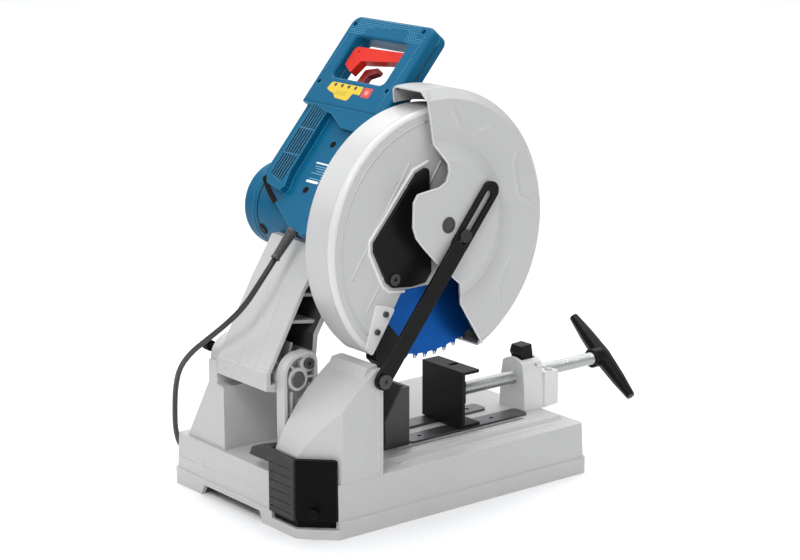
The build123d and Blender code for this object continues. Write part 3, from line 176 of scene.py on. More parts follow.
def finish_material(name, color, rough, metallic=0.0, vary=0.10, patch=14.0, grain=900.0, bump=0.12,
                    depth=0.00012, stretch=(1, 1, 1), edge=None, coat=0.0, rough_vary=0.12, specular=0.5,
                    rounding=EDGE_ROUNDING):
    """A procedural finish: soft colour patches, fine grain, uneven gloss and lighter edges, partly wear and
    partly painted highlight.
    """
    material = bpy.data.materials.new(name)
    material.use_nodes = True
    tree = material.node_tree
    shader = tree.nodes["Principled BSDF"]
    shader.inputs["Metallic"].default_value = metallic
    shader.inputs["Coat Weight"].default_value = coat
    shader.inputs["Specular IOR Level"].default_value = specular
    coords = node(tree, "ShaderNodeTexCoord").outputs["Object"]
    patches = noise(tree, coords, patch, 4.0)
    dark = [c * (1 - vary) for c in color]
    light = [min(1.0, c * (1 + vary)) for c in color]
    base = blend_colors(tree, remap(tree, patches, 0.3, 0.7, 0, 1), dark, light)
    result = base.outputs[2]
    fine = noise(tree, coords, grain, 2.0, stretch)
    speck = blend_colors(tree, remap(tree, fine, 0.35, 0.65, 0, 0.25), color, [c * 0.72 for c in color])
    tree.links.new(result, speck.inputs[6])
    result = speck.outputs[2]
    rounded = node(tree, "ShaderNodeBevel", samples=4)
    rounded.inputs["Radius"].default_value = rounding
    # lighter colour on the rounded edges: partly wear, partly a painted highlight
    if edge:
        geometry = node(tree, "ShaderNodeNewGeometry")
        agree = node(tree, "ShaderNodeVectorMath", operation="DOT_PRODUCT")
        tree.links.new(geometry.outputs["Normal"], agree.inputs[0])
        tree.links.new(rounded.outputs["Normal"], agree.inputs[1])
        edge_wear_and_highlight = blend_colors(tree, remap(tree, agree.outputs["Value"], 0.99, 0.86, 0, 0.8), color, edge)
        tree.links.new(result, edge_wear_and_highlight.inputs[6])
        result = edge_wear_and_highlight.outputs[2]
    tree.links.new(result, shader.inputs["Base Color"])
    gloss = noise(tree, coords, patch * 5, 3.0, stretch)
    tree.links.new(remap(tree, gloss, 0.3, 0.7, rough * (1 - rough_vary), rough * (1 + rough_vary)),
                   shader.inputs["Roughness"])
    relief = node(tree, "ShaderNodeBump", Strength=bump, Distance=depth)
    tree.links.new(fine, relief.inputs["Height"])
    tree.links.new(rounded.outputs["Normal"], relief.inputs["Normal"])
    tree.links.new(relief.outputs["Normal"], shader.inputs["Normal"])
    return material


def brushed(name, color, rough, stretch, vary=0.12, grain=500.0, bump=0.25):
    return finish_material(name, color, rough, metallic=1.0, vary=vary, patch=25.0, grain=grain, bump=bump,
                           depth=0.0001, stretch=stretch, rough_vary=0.25)


# The edge colours below are lighter: partly wear, partly painted highlight on the edges.
MATERIALS = {
    "casting": finish_material("cast_paint", (0.505, 0.505, 0.495), 0.42, vary=0.035, patch=9.0, grain=700.0,
                               bump=0.22, depth=0.00025, edge=(0.80, 0.80, 0.79), specular=0.5),
    "guard_silver": finish_material("guard_paint", (0.53, 0.53, 0.523), 0.34, vary=0.02, patch=7.0,
                                    grain=1500.0, bump=0.08, edge=(0.78, 0.78, 0.77), specular=0.5),
    "black_paint": finish_material("black_paint", (0.007, 0.007, 0.007), 0.34, vary=0.2, patch=20.0,
                                   grain=900.0, bump=0.15, edge=(0.07, 0.07, 0.07), specular=0.12),
    "fence_dark": finish_material("fence_paint", (0.034, 0.034, 0.035), 0.42, vary=0.2, patch=22.0,
                                  grain=800.0, bump=0.25, edge=(0.20, 0.20, 0.20)),
    "rail_steel": brushed("rail_steel", (0.16, 0.16, 0.165), 0.38, (1, 14, 1)),
    "thread_zinc": brushed("thread_zinc", (0.54, 0.55, 0.54), 0.36, (1, 1, 1), vary=0.05, grain=900.0,
                           bump=0.05),
    "zinc": brushed("zinc_plate", (0.62, 0.63, 0.62), 0.30, (1, 1, 1), grain=300.0),
    "shaft_steel": brushed("ground_steel", (0.50, 0.50, 0.51), 0.28, (1, 9, 1)),
    "gear_steel": brushed("gear_steel", (0.30, 0.30, 0.31), 0.40, (1, 6, 1)),
    "bronze": brushed("bronze", (0.55, 0.36, 0.16), 0.42, (1, 1, 1)),
    "laminations": brushed("laminations", (0.22, 0.19, 0.17), 0.5, (1, 40, 1)),
    # its light blue edge colour, over a wider rounding, is a painted highlight along the housing's edges
    "housing_blue": finish_material("blue_housing", (0.002, 0.103, 0.208), 0.40, vary=0.06, patch=10.0,
                                    grain=1400.0, bump=0.30, depth=0.0001, edge=(0.08, 0.34, 0.54),
                                    specular=0.12, rounding=0.002),
    "stud_blue": finish_material("grip_studs", (0.075, 0.33, 0.50), 0.34, vary=0.06, patch=10.0,
                                 grain=1400.0, bump=0.2),
    "red_plastic": finish_material("red_plastic", (0.62, 0.022, 0.012), 0.30, vary=0.08, patch=25.0,
                                   grain=1200.0, bump=0.15, edge=(0.86, 0.10, 0.07), specular=0.18),
    "dark_red_plastic": finish_material("dark_red_plastic", (0.25, 0.010, 0.012), 0.32, vary=0.1, patch=25.0,
                                        grain=1200.0, bump=0.15, edge=(0.5, 0.05, 0.05), coat=0.2),
    # real black plastic, and also the painted shade in vents, screw wells, finger recess and cooling slots
    "bin_black": finish_material("black_plastic_and_shade", (0.004, 0.004, 0.004), 0.42, vary=0.2, patch=18.0,
                                 grain=1000.0, bump=0.3, edge=(0.05, 0.05, 0.05), specular=0.06),
    "cap_grey": finish_material("grey_plastic", (0.026, 0.026, 0.027), 0.48, vary=0.12, patch=18.0,
                                grain=1000.0, bump=0.3, edge=(0.14, 0.14, 0.14), specular=0.25),
    # lighter copy of the casting paint: painted highlight on the bed line and cover rim, a paler tone on the
    # nut housing and guard bracket
    "light_cast_and_highlight": finish_material("light_cast_paint_and_highlight", (0.74, 0.74, 0.72), 0.40, vary=0.03, patch=9.0,
                                     grain=700.0, bump=0.2, depth=0.0002, edge=(0.88, 0.88, 0.87)),
    # lighter copy of the guard paint: painted highlight on rims and lips
    "painted_highlight_rim": finish_material("painted_highlight_rim", (0.67, 0.67, 0.665), 0.36, vary=0.02, patch=9.0, grain=1200.0,
                                  bump=0.08),
    # dark sheet colour: painted shade in the hollows of the guards and the arm
    "painted_shade_dark": finish_material("painted_shade_dark", (0.045, 0.045, 0.046), 0.55, vary=0.25, patch=12.0,
                                  grain=500.0, bump=0.2),
    "fan_nylon": finish_material("nylon", (0.45, 0.45, 0.42), 0.5, vary=0.05, patch=20.0),
    "blade_blue": finish_material("blade_coating", (0.001, 0.080, 0.33), 0.36, metallic=0.7, vary=0.1,
                                  patch=16.0, grain=600.0, bump=0.15, edge=(0.03, 0.2, 0.6), specular=0.25),
    "boot_rubber": finish_material("boot_rubber", (0.055, 0.055, 0.054), 0.55, vary=0.15, patch=30.0,
                                   grain=1300.0, bump=0.3),
    "cord_rubber": finish_material("cord_rubber", (0.022, 0.022, 0.022), 0.5, vary=0.2, patch=40.0,
                                   grain=1500.0, bump=0.3),
}
PRINT = {
    "yellow": finish_material("yellow_print", (0.68, 0.48, 0.02), 0.4, vary=0.04, patch=60.0),
    "red": finish_material("red_print", (0.62, 0.05, 0.04), 0.35, vary=0.05, patch=60.0),
    "pale_red": finish_material("pale_red_print", (0.85, 0.28, 0.22), 0.35, vary=0.05, patch=60.0),
    "dark": finish_material("dark_print", (0.04, 0.035, 0.03), 0.45, vary=0.1, patch=60.0),
    "olive": finish_material("olive_print", (0.45, 0.38, 0.02), 0.45, vary=0.1, patch=60.0),
    "white": finish_material("white_print", (0.80, 0.83, 0.85), 0.4, vary=0.03, patch=60.0),
    "pale_blue": finish_material("pale_blue_print", (0.22, 0.45, 0.58), 0.4, vary=0.05, patch=60.0),
}


SPECIAL_LOOKS = {"nut_housing": "light_cast_and_highlight", "guard_bracket": "light_cast_and_highlight",
                 "guard_hinge_bolt": "fence_dark", "drive_pin": "cap_grey", "lever_bolt": "fence_dark",
                 "guard_screws": "fence_dark", "stop_screw": "fence_dark", "pivot_shaft": "rail_steel"}


def dress_cad_nodes():
    """Each CAD node gets the finish of its material slot, or its own where the photo shows another."""
    slots = {entry["node"]: entry["material_slot"] for entry in frame["record"]["subparts"]}
    for name, slot in slots.items():
        obj = bpy.data.objects[name]
        obj.data.materials.clear()
        obj.data.materials.append(MATERIALS[SPECIAL_LOOKS.get(name, slot)])


# ------------------------------------------------------------ mains cord
CORD_R = 3.5
BOOT_EXIT = Vector((-145.0, -14.0, 349.5))
BOOT_TILT = radians(41)
BOOT_DIR = Vector((-sin(BOOT_TILT), 0, -cos(BOOT_TILT)))
BOOT_LENGTH = 42
CORD_START = BOOT_EXIT + BOOT_DIR * BOOT_LENGTH
COIL = Vector((78.0, 252.0, 0))
ROUTE = [
    tuple(CORD_START),
    tuple(CORD_START + BOOT_DIR * 30),
    (-208, 0, 262),
    (-217, 26, 236),
    (-224, 58, 211),
    (-227, 92, 187),
    (-224, 124, 159),
    (-214, 150, 126),
    (-203, 170, 90),
    (-192, 187, 54),
    (-174, 203, 24),
    (-146, 215, 7),
    (-110, 219, 3.6),
    (-72, 213, 3.8),
    (-34, 203, 3.6),
    (6, 198, 3.7),
    (44, 201, 3.6),
]
# radius and height of each turn of the coil
LANES = [(45.5, 3.6), (38.5, 3.6), (31.5, 3.6), (31.5, 10.3), (38.5, 10.3), (45.5, 10.3), (45, 16.4),
         (40, 16.4)]
TURN_POINTS = 14
COIL_FIRST_ANGLE = radians(-96)
LANE_CHANGE = 0.7                     # share of a turn after which it eases over to the next lane
TAIL = [(124, 257, 14.5), (139, 279, 13), (160, 294, 18.5)]
COIL_TURNS = 7.3
CORD_SIDES = 14


def coil_points():
    """Turns that lie beside and on each other, each lane easing into the next."""
    points = []
    for i in range(int(TURN_POINTS * COIL_TURNS)):
        turn, part = divmod(i / TURN_POINTS, 1)
        here = LANES[int(turn)]
        after = LANES[min(int(turn) + 1, len(LANES) - 1)]
        ease = max(0.0, (part - LANE_CHANGE) / (1 - LANE_CHANGE))
        r = here[0] + (after[0] - here[0]) * ease
        z = here[1] + (after[1] - here[1]) * ease
        angle = COIL_FIRST_ANGLE + 2 * pi * i / TURN_POINTS
        points.append((COIL.x + r * cos(angle), COIL.y + r * sin(angle), z))
    return points


def centreline(points):
    """Points along the route's smooth spline, in metres."""
    curve = bpy.data.curves.new("cord_line", "CURVE")
    curve.dimensions = "3D"
    curve.resolution_u = 8
    spline = curve.splines.new("NURBS")
    spline.points.add(len(points) - 1)
    for spot, place in zip(spline.points, points):
        spot.co = (*(Vector(place) * MM), 1)
    spline.order_u = 3
    spline.use_endpoint_u = True
    holder = bpy.data.objects.new("cord_line", curve)
    mesh = bpy.data.meshes.new_from_object(holder)
    line = [vert.co.copy() for vert in mesh.vertices]
    bpy.data.objects.remove(holder)
    bpy.data.curves.remove(curve)
    bpy.data.meshes.remove(mesh)
    return line


def tube(name, line, radius, sides, material):
    """Round tube along a line of points in metres, without twist."""
    verts = []
    across = Vector((0, 1, 0))
    for i, here in enumerate(line):
        along = (line[min(i + 1, len(line) - 1)] - line[max(i - 1, 0)]).normalized()
        across = (across - along * across.dot(along)).normalized()
        other = along.cross(across)
        for k in range(sides):
            angle = 2 * pi * k / sides
            verts.append(here + (across * cos(angle) + other * sin(angle)) * radius)
    return mesh_object(name, verts, ring_faces(len(line), sides), material, smooth=True)


def add_cord():
    """The lead as one tube from the head's strain relief down onto the bench and round its coil, with a tie
    round the turns.
    """
    line = centreline(ROUTE + coil_points() + TAIL)
    cord = tube("mains_cord", line, CORD_R * MM, CORD_SIDES, MATERIALS["cord_rubber"])
    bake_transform(cord)
    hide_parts("cord_run", "cord_coil", "cord_tail")
    coil_tie()


def coil_tie():
    """Flat strap round the turns, on the side away from the saw."""
    inner, outer, low, high, half_wide, thick = 27.4, 49.6, 0.05, 20.4, 4.0, 0.9
    ring = [(inner, low + 3), (inner + 3, low), (outer - 3, low), (outer, low + 3), (outer, 12),
            (outer - 4, high - 2), (outer - 7, high), (inner + 7, high), (inner + 1, 14)]
    middle = Vector(((inner + outer) / 2, 9.5))
    verts = []
    for inset in (0.0, -thick):
        for side in (-half_wide, half_wide):
            for r, z in ring:
                away = (Vector((r, z)) - middle).normalized() * inset
                verts.append((COIL.x + side, COIL.y + r + away.x, max(low, z + away.y)))
    n = len(ring)
    faces = []
    for i in range(n):
        j = (i + 1) % n
        faces.append((i, j, n + j, n + i))
        faces.append((2 * n + i, 2 * n + j, 3 * n + j, 3 * n + i))
        faces.append((i, j, 2 * n + j, 2 * n + i))
        faces.append((n + i, n + j, 3 * n + j, 3 * n + i))
    return piece("cord_tie", verts, faces, MATERIALS["bin_black"], "base")


# ------------------------------------------------------------ places on the saw (millimetres)
SLAB_TILT = radians(49.3)
SLAB_NORMAL = Vector((-sin(SLAB_TILT), 0, cos(SLAB_TILT)))
SLAB_UP = Vector((cos(SLAB_TILT), 0, sin(SLAB_TILT)))
LOOP_FACE, BODY_FACE, VENT_FACE = 351.0, 339.0, 349.0
BLADE = Vector((-4, -95, 336))
BLADE_R, TEETH = 152.5, 60
GUARD_R, GUARD_NEAR = 163.6, -122.0   # fixed guard: radius, and y of its face
SWING = Vector((-10, -132.5, 360))    # swing guard: middle of the hub, at the web's face
RIM = Vector((-11, 0, 350))           # swing guard: middle of the rim
RIM_R, BOSS_NEAR = 173.0, -146.0
MOTOR = Vector((-60.03, 0, 349.97))
MOTOR_R = 55.0
TO_BLADE_SIDE, TO_FAR_SIDE = (0, -1, 0), (0, 1, 0)


def on_slab(y, u, n):
    """Point of the handle slab: across, up the slab and out of its rear face."""
    place = SLAB_NORMAL * n + SLAB_UP * u
    return Vector((place.x, y, place.z))


def plate(name, outline, thick, to_world, material, body, bevel=0.0):
    """A thin flat piece from a 2-D outline, with its rim bevelled."""
    count = len(outline)
    verts = [to_world(a, b, 0) for a, b in outline]
    middle = Vector((sum(p[0] for p in outline) / count, sum(p[1] for p in outline) / count, 0))
    for a, b in outline:
        inward = (Vector((a, b, 0)) - middle).normalized() * bevel
        verts.append(to_world(a - inward.x, b - inward.y, thick))
    faces = [tuple(range(count)), tuple(range(count, 2 * count))]
    for i in range(count):
        j = (i + 1) % count
        faces.append((i, j, count + j, count + i))
    return piece(name, verts, faces, material, body)


def spread(start, end, parts):
    """Points from start to end, evenly spaced over so many parts."""
    return [tuple(a + (b - a) * k / parts for a, b in zip(start, end)) for k in range(parts + 1)]


def along_edges(corners, parts):
    """Points along a broken line, so many on each edge, with its last corner left out."""
    points = []
    for start, end in zip(corners, corners[1:]):
        points += spread(start, end, parts)[:-1]
    return points


def round_rect(a0, a1, b0, b1, r, steps=4):
    """Outline of a rectangle with rounded corners."""
    points = []
    corners = ((a1 - r, b1 - r, 0), (a0 + r, b1 - r, 90), (a0 + r, b0 + r, 180), (a1 - r, b0 + r, 270))
    for ca, cb, start in corners:
        for k in range(steps + 1):
            angle = radians(start + 90 * k / steps)
            points.append((ca + r * cos(angle), cb + r * sin(angle)))
    return points


def disc(a, b, r, steps=20):
    """Outline of a circle."""
    return [(a + r * cos(2 * pi * k / steps), b + r * sin(2 * pi * k / steps)) for k in range(steps)]


def strip(name, line, width, height, out, material, body, slot, tip=0.3, fade=0):
    """A ridge with a flattened crest along a line of points on a surface that faces out.

    It sinks into the surface over its first and last few points, as many as fade says.
    """
    out = Vector(out).normalized()
    verts, faces = [], []
    for i, place in enumerate(line):
        here = Vector(place)
        before = Vector(line[max(i - 1, 0)])
        after = Vector(line[min(i + 1, len(line) - 1)])
        across = (after - before).cross(out).normalized()
        share = min(1.0, min(i, len(line) - 1 - i) / fade) if fade else 1.0
        crest = 1.2 * share - 0.2
        for reach, lift in ((-0.5, -0.2), (-0.5 * tip, crest), (0.5 * tip, crest), (0.5, -0.2)):
            verts.append(here + across * width * reach + out * height * lift)
    for i in range(len(line) - 1):
        for k in range(4):
            a, b = 4 * i + k, 4 * i + (k + 1) % 4
            faces.append((a, b, b + 4, a + 4))
    last = 4 * (len(line) - 1)
    faces.append((0, 1, 2, 3))
    faces.append((last, last + 1, last + 2, last + 3))
    return piece(name, verts, faces, material, body)


def lathe(name, profile, centre, material, body, steps=64, start=0.0, stop=2 * pi):
    """A ring about an axis along Y from (radius, y) points."""
    closed = abs(stop - start - 2 * pi) < 1e-6
    rows = steps if closed else steps + 1
    verts, faces = [], []
    for i in range(rows):
        angle = start + (stop - start) * i / steps
        for r, y in profile:
            verts.append((centre.x + r * cos(angle), y, centre.z + r * sin(angle)))
    n = len(profile)
    for i in range(rows if closed else rows - 1):
        for k in range(n):
            a, b = i * n + k, i * n + (k + 1) % n
            c, d = (i + 1) % rows * n + (k + 1) % n, (i + 1) % rows * n + k
            faces.append((a, b, c, d))
    if not closed:
        faces.append(tuple(range(n)))
        faces.append(tuple(range((rows - 1) * n, rows * n)))
    return piece(name, verts, faces, material, body, smooth=True)


# ------------------------------------------------------------ handle and motor housing
PATCH_THICK = 0.25


def slab_plate(name, outline, n, thick, material, slot, bevel=0.0):
    """A flat piece on the handle slab, standing out of it from n."""
    return plate(name, outline, thick, lambda y, u, t: on_slab(y, u, n + t), material, "head", bevel)


def add_labels():
    """Plain colour patches and bars where the labels and the rating plate sit."""
    patch = [(67, 360), (65, 369), (62, 371), (1, 371), (0, 359), (14, 359), (16, 350), (19, 348), (42, 349),
             (50, 355), (60, 357)]
    on_patch = LOOP_FACE + PATCH_THICK
    show = partial(slab_plate, slot="housing_blue")
    show("safety_patch", patch, LOOP_FACE, PATCH_THICK, PRINT["yellow"])
    show("red_patch", round_rect(-19, -2, 357, 371, 1.5), LOOP_FACE, PATCH_THICK, PRINT["red"])
    show("red_patch_light", disc(-10.5, 364, 3.6), on_patch, 0.1, PRINT["pale_red"])
    for i in range(4):
        show(f"patch_dot_{i}", disc(55 - 13.5 * i, 367.6, 2.6, 12), on_patch, 0.08, PRINT["dark"])
    for i in range(3):
        bar = round_rect(26, 47, 354.5 + 2.2 * i, 355.2 + 2.2 * i, 0.3)
        show(f"patch_line_{i}", bar, on_patch, 0.08, PRINT["olive"])
    show("plate_bar", round_rect(-60, 18, 262.5, 264.6, 0.8), BODY_FACE, 0.2, PRINT["white"])
    rows = ((-58, 16, 258.5), (-52, 12, 255.5), (-60, 8, 252),
            (-44, 16, 248.5), (-58, -6, 245), (-30, 14, 241))
    for i, (y0, y1, u) in enumerate(rows):
        show(f"plate_line_{i}", round_rect(y0, y1, u, u + 0.9, 0.4), BODY_FACE, 0.15, PRINT["pale_blue"])
    show("plate_mark", round_rect(-8, 16, 235.5, 239, 1.5), BODY_FACE, 0.15, PRINT["white"])


def add_vents():
    """Dark strips in the vent slots, painted shade in the openings, and two bars across them."""
    slots, pitch, half_wide, half_long = 6, 5.2, 1.3, 52.4
    for i in range(slots):
        y, u = 73.5 - pitch * i, 283 - 1.2 * i
        outline = round_rect(y - half_wide, y + half_wide, u - half_long, u + half_long, 1.2)
        slab_plate(f"vent_shade_{i}", outline, VENT_FACE - 1.0, 0.8, MATERIALS["bin_black"], "bin_black")
    for i, u in enumerate((262, 300)):
        slab_plate(f"vent_bar_{i}", round_rect(45, 76, u, u + 1.8, 0.6), VENT_FACE - 3.35, 3.4,
                   MATERIALS["housing_blue"], "housing_blue", 0.3)


def add_grip_texture():
    """Small studs over the top bar of the loop, with a smooth patch in the middle."""
    far_end, near_end, pitch, row_pitch, low_row = 92, -50, 3.4, 2.8, 443.5
    far_screw, near_screw, screw_clear = 92, -43, 7
    corners = ((-1.15, 0), (0, -1.0), (1.15, 0), (0, 1.0))
    top_share, stud_height = 0.45, 0.8
    verts, faces = [], []
    for row in range(9):
        for col in range(46):
            y = far_end - pitch * col + (pitch / 2 if row % 2 else 0)
            u = low_row + row_pitch * row
            smooth_patch = -18 < y < 62 and u < 455 + 3 * cos(y / 30)
            beside_screw = min(abs(y - far_screw), abs(y - near_screw)) < screw_clear and 450 < u < 468
            if smooth_patch or beside_screw or not near_end <= y <= far_end:
                continue
            base = len(verts)
            verts += [on_slab(y + a, u + b, LOOP_FACE - 0.05) for a, b in corners]
            verts += [on_slab(y + a * top_share, u + b * top_share, LOOP_FACE + stud_height)
                      for a, b in corners]
            faces.append((base + 4, base + 5, base + 6, base + 7))
            faces += [(base + k, base + (k + 1) % 4, base + 4 + (k + 1) % 4, base + 4 + k) for k in range(4)]
    piece("grip_studs", verts, faces, MATERIALS["stud_blue"], "head")


def add_housing_trim():
    # ridge lines down both sides of the loop
    for name, y0, u0, y1, u1 in (("ridge_near", -52, 455, -48, 345), ("ridge_far", 90, 440, 92, 384)):
        line = [on_slab(y, u, LOOP_FACE) for y, u in spread((y0, u0), (y1, u1), 6)]
        strip(name, line, 3.0, 0.5, SLAB_NORMAL, MATERIALS["housing_blue"], "head", "housing_blue")
    # parting seam on the near side of the loop
    seam = [on_slab(-63.05, u, 337) for u in (356, 452)]
    strip("loop_seam", seam, 1.0, 0.12, TO_BLADE_SIDE, MATERIALS["bin_black"], "head", "bin_black")
    # screw wells of the lower body, each with a dark disc as painted shade down the well
    for i, (y, u) in enumerate(((8, 292), (-24, 293), (6, 225), (-24, 226))):
        slab_plate(f"well_rim_{i}", disc(y, u, 6.4), BODY_FACE - 0.05, 0.5, MATERIALS["housing_blue"],
                   "housing_blue", 0.5)
        slab_plate(f"well_shade_{i}", disc(y, u, 4.9), BODY_FACE + 0.4, 0.12, MATERIALS["bin_black"],
                   "bin_black")
    # curved finger recess drawn as a dark slot: painted shade in the recess
    recess = []
    for k in range(9):
        t = k / 8
        recess.append(on_slab(97 - 50 * t ** 1.2, 229 - 30 * t, BODY_FACE - 0.1))
    strip("recess_shade", recess, 8.0, 0.35, SLAB_NORMAL, MATERIALS["bin_black"], "head", "bin_black", tip=0.8)
    # seam and ridge of the motor's end cap
    inside, seam_top, ridge_top = MOTOR_R - 0.5, MOTOR_R + 0.25, MOTOR_R + 0.7
    lathe("cap_seam", [(inside, 103), (seam_top, 103.2), (seam_top, 104.8), (inside, 105)],
          MOTOR, MATERIALS["bin_black"], "head")
    lathe("cap_ridge", [(inside, 112), (ridge_top, 112.6), (ridge_top, 114.4), (inside, 115)],
          MOTOR, MATERIALS["housing_blue"], "head")


def add_boot():
    """Ribbed strain relief in place of the plain cone."""
    steps = 28
    side = Vector((0, 1, 0))
    other = BOOT_DIR.cross(side)
    profile = boot_profile()
    verts = []
    for along, r in profile:
        centre = BOOT_EXIT + BOOT_DIR * along
        for k in range(steps):
            angle = 2 * pi * k / steps
            verts.append(centre + side * r * cos(angle) + other * r * sin(angle))
    boot = piece("ribbed_boot", verts, ring_faces(len(profile), steps), MATERIALS["boot_rubber"], "head",
                 smooth=True)
    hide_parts("cord_boot")


def boot_profile():
    """Distance along the strain relief and radius: collar, eleven grooves, end bead."""
    grooves, pitch, depth = 11, 3.0, 0.7
    profile = [(0, 7.4), (3.6, 7.4), (4.0, 6.9)]
    for k in range(grooves):
        start = 6 + pitch * k
        r = 6.9 - 1.7 * start / 40
        profile += [(start, r), (start + 0.3, r - depth), (start + 1.1, r - depth), (start + 1.4, r - 0.05)]
    profile += [(39.2, 5.2), (39.5, 5.9), (41.7, 5.9), (BOOT_LENGTH, 5.3)]
    return profile


# ------------------------------------------------------------ guards and blade
def add_fixed_guard_relief():
    """Two creases, a small plain ring and a stepped band on the fixed guard's face."""
    lean = radians(56)
    along = Vector((cos(lean), 0, sin(lean)))
    y = GUARD_NEAR
    for i, (start, reach) in enumerate((((-118, y, 262), 208), ((-139, y, 306), 158))):
        line = spread(start, Vector(start) + along * reach, 12)
        strip(f"guard_crease_{i}", line, 4.2, 0.7, TO_BLADE_SIDE, MATERIALS["guard_silver"], "head",
              "guard_silver", tip=0.25)
    ring = [(9.5, y + 0.1), (9.8, y - 0.5), (10.6, y - 0.5), (11.0, y + 0.1)]
    lathe("guard_ring", ring, Vector((-66, 0, 408)), MATERIALS["guard_silver"], "head",
          steps=36)
    band = [(148, y + 0.1), (148.8, y - 0.7), (150.0, y - 0.7), (151.2, y + 0.1)]
    lathe("guard_band", band, BLADE, MATERIALS["guard_silver"], "head", steps=72,
          start=radians(98), stop=radians(222))


def add_swing_guard_relief():
    """Shallow zigzag of the pressed facets round the web, sinking into it at both ends."""
    facets = {"facet_top": [(4, 505), (13, 486), (19, 477), (48, 463), (84, 474)],
              "facet_side": [(113, 436), (106, 420), (114, 379), (144, 361)],
              "facet_low": [(136, 304), (102, 299), (82, 268), (87, 242)]}
    for name, corners in facets.items():
        line = [(x, SWING.y, z) for x, z in along_edges(corners, 5) + [corners[-1]]]
        strip(name, line, 10.0, 0.9, TO_BLADE_SIDE, MATERIALS["guard_silver"], "swing_guard", "guard_silver",
              tip=0.12, fade=3)


# open edge of the swing guard, from its top to its lowest corner
SWING_LIP = [(-33, 524), (-31, 505), (-23, 457), (-11, 433), (-10, 424), (-14, 413), (-26, 407), (-58, 403),
             (-64, 394), (-65, 364), (-60, 350), (-50, 338), (-31, 318), (8, 285), (20, 266), (21, 254),
             (58, 195)]
HUB_R, DISH_R = 78, 100               # the flat hub ends and the flat web begins


def swing_face(x, z):
    """Y of the swing guard's outer face: flat hub, sloping dish band, flat web."""
    r = sqrt((x - SWING.x) ** 2 + (z - SWING.z) ** 2)
    part = min(1.0, max(0.0, (r - HUB_R) / (DISH_R - HUB_R)))
    return BOSS_NEAR + (SWING.y - BOSS_NEAR) * part


def add_swing_guard_lip():
    """Rolled lip along the open edge of the swing guard, drawn lighter than the guard as a painted highlight.
    """
    line = []
    for (x0, z0), (x1, z1) in zip(SWING_LIP, SWING_LIP[1:]):
        steps = max(1, int(sqrt((x1 - x0) ** 2 + (z1 - z0) ** 2) / 4))
        for k in range(steps):
            x, z = x0 + (x1 - x0) * k / steps, z0 + (z1 - z0) * k / steps
            line.append((x + 1.0, swing_face(x, z), z))
    strip("swing_lip", line, 3.0, 0.5, TO_BLADE_SIDE, MATERIALS["painted_highlight_rim"], "swing_guard", "guard_silver",
          tip=0.6)


def add_guard_shade_sheets():
    """Dark sheets inside both guards: painted shade on their inner walls."""
    shell = [(RIM_R - 2.25, -118), (RIM_R - 2.25, -72), (RIM_R - 6, -68), (RIM_R - 6.3, -68.3),
             (RIM_R - 2.7, -72), (RIM_R - 2.7, -118)]
    lathe("swing_shade_sheet", shell, RIM, MATERIALS["painted_shade_dark"], "swing_guard",
          start=radians(-65.5), stop=radians(96))
    inner = GUARD_R - 2.8
    drum = [(inner, -114), (inner, -73), (inner - 0.4, -73), (inner - 0.4, -114)]
    lathe("guard_shade_sheet", drum, BLADE, MATERIALS["painted_shade_dark"], "head",
          start=radians(62), stop=radians(228))


def add_cover_rim():
    """Raised border of the guard round the black access cover, drawn lighter than the guard as a painted
    highlight.
    """
    outline = [(-22, 436), (-45, 428), (-112, 349), (-112, 335), (-92, 292), (-82, 284), (-54, 281)]
    line = [(x, GUARD_NEAR, z) for x, z in along_edges(outline, 6)]
    strip("cover_rim", line, 5.0, 1.2, TO_BLADE_SIDE, MATERIALS["light_cast_and_highlight"], "head", "guard_silver",
          tip=0.35)


def add_rim_band():
    """Bevel round the near edge of the fixed guard, drawn lighter than the guard as a painted highlight."""
    band = [(GUARD_R - 5.2, GUARD_NEAR - 0.1), (GUARD_R - 4.6, GUARD_NEAR - 0.35),
            (GUARD_R + 0.3, GUARD_NEAR + 5.6), (GUARD_R + 0.3, GUARD_NEAR + 10),
            (GUARD_R - 0.3, GUARD_NEAR + 10), (GUARD_R - 0.4, GUARD_NEAR + 6)]
    lathe("guard_rim", band, BLADE, MATERIALS["painted_highlight_rim"], "head", steps=80,
          start=radians(66), stop=radians(229))


# ------------------------------------------------------------ arm and base
ARM_SLOPE = Vector((55, 0, 98)).normalized()
ARM_NORMAL = Vector((-98, 0, 55)).normalized()
ARM_FOOT = Vector((-209, 0, 185))


def arm_rear(y, reach):
    """Point on the arm's rear face, at a distance up from its foot."""
    place = ARM_FOOT + ARM_SLOPE * reach
    return Vector((place.x, y, place.z))


def add_arm_relief():
    """Long pressed ridges down the rear of the arm and a lip at its foot."""
    ridges = (("arm_ridge_a", 14, 22, 9, 0.9, 0.35), ("arm_ridge_b", -16, -8, 3, 0.8, 0.3),
              ("arm_edge", -42.5, -42.5, 3, 0.5, 0.5))
    for name, y0, y1, width, height, tip in ridges:
        line = [arm_rear(y, reach) for y, reach in spread((y0, 3), (y1, 110), 10)]
        strip(name, line, width, height, ARM_NORMAL, MATERIALS["casting"], "head", "casting", tip=tip)
    foot = [arm_rear(y, reach) for y, reach in spread((57, 1.5), (-43, 1.5), 6)]
    strip("arm_foot_line", foot, 2.4, 0.5, ARM_NORMAL, MATERIALS["casting"], "head", "casting", tip=0.4)


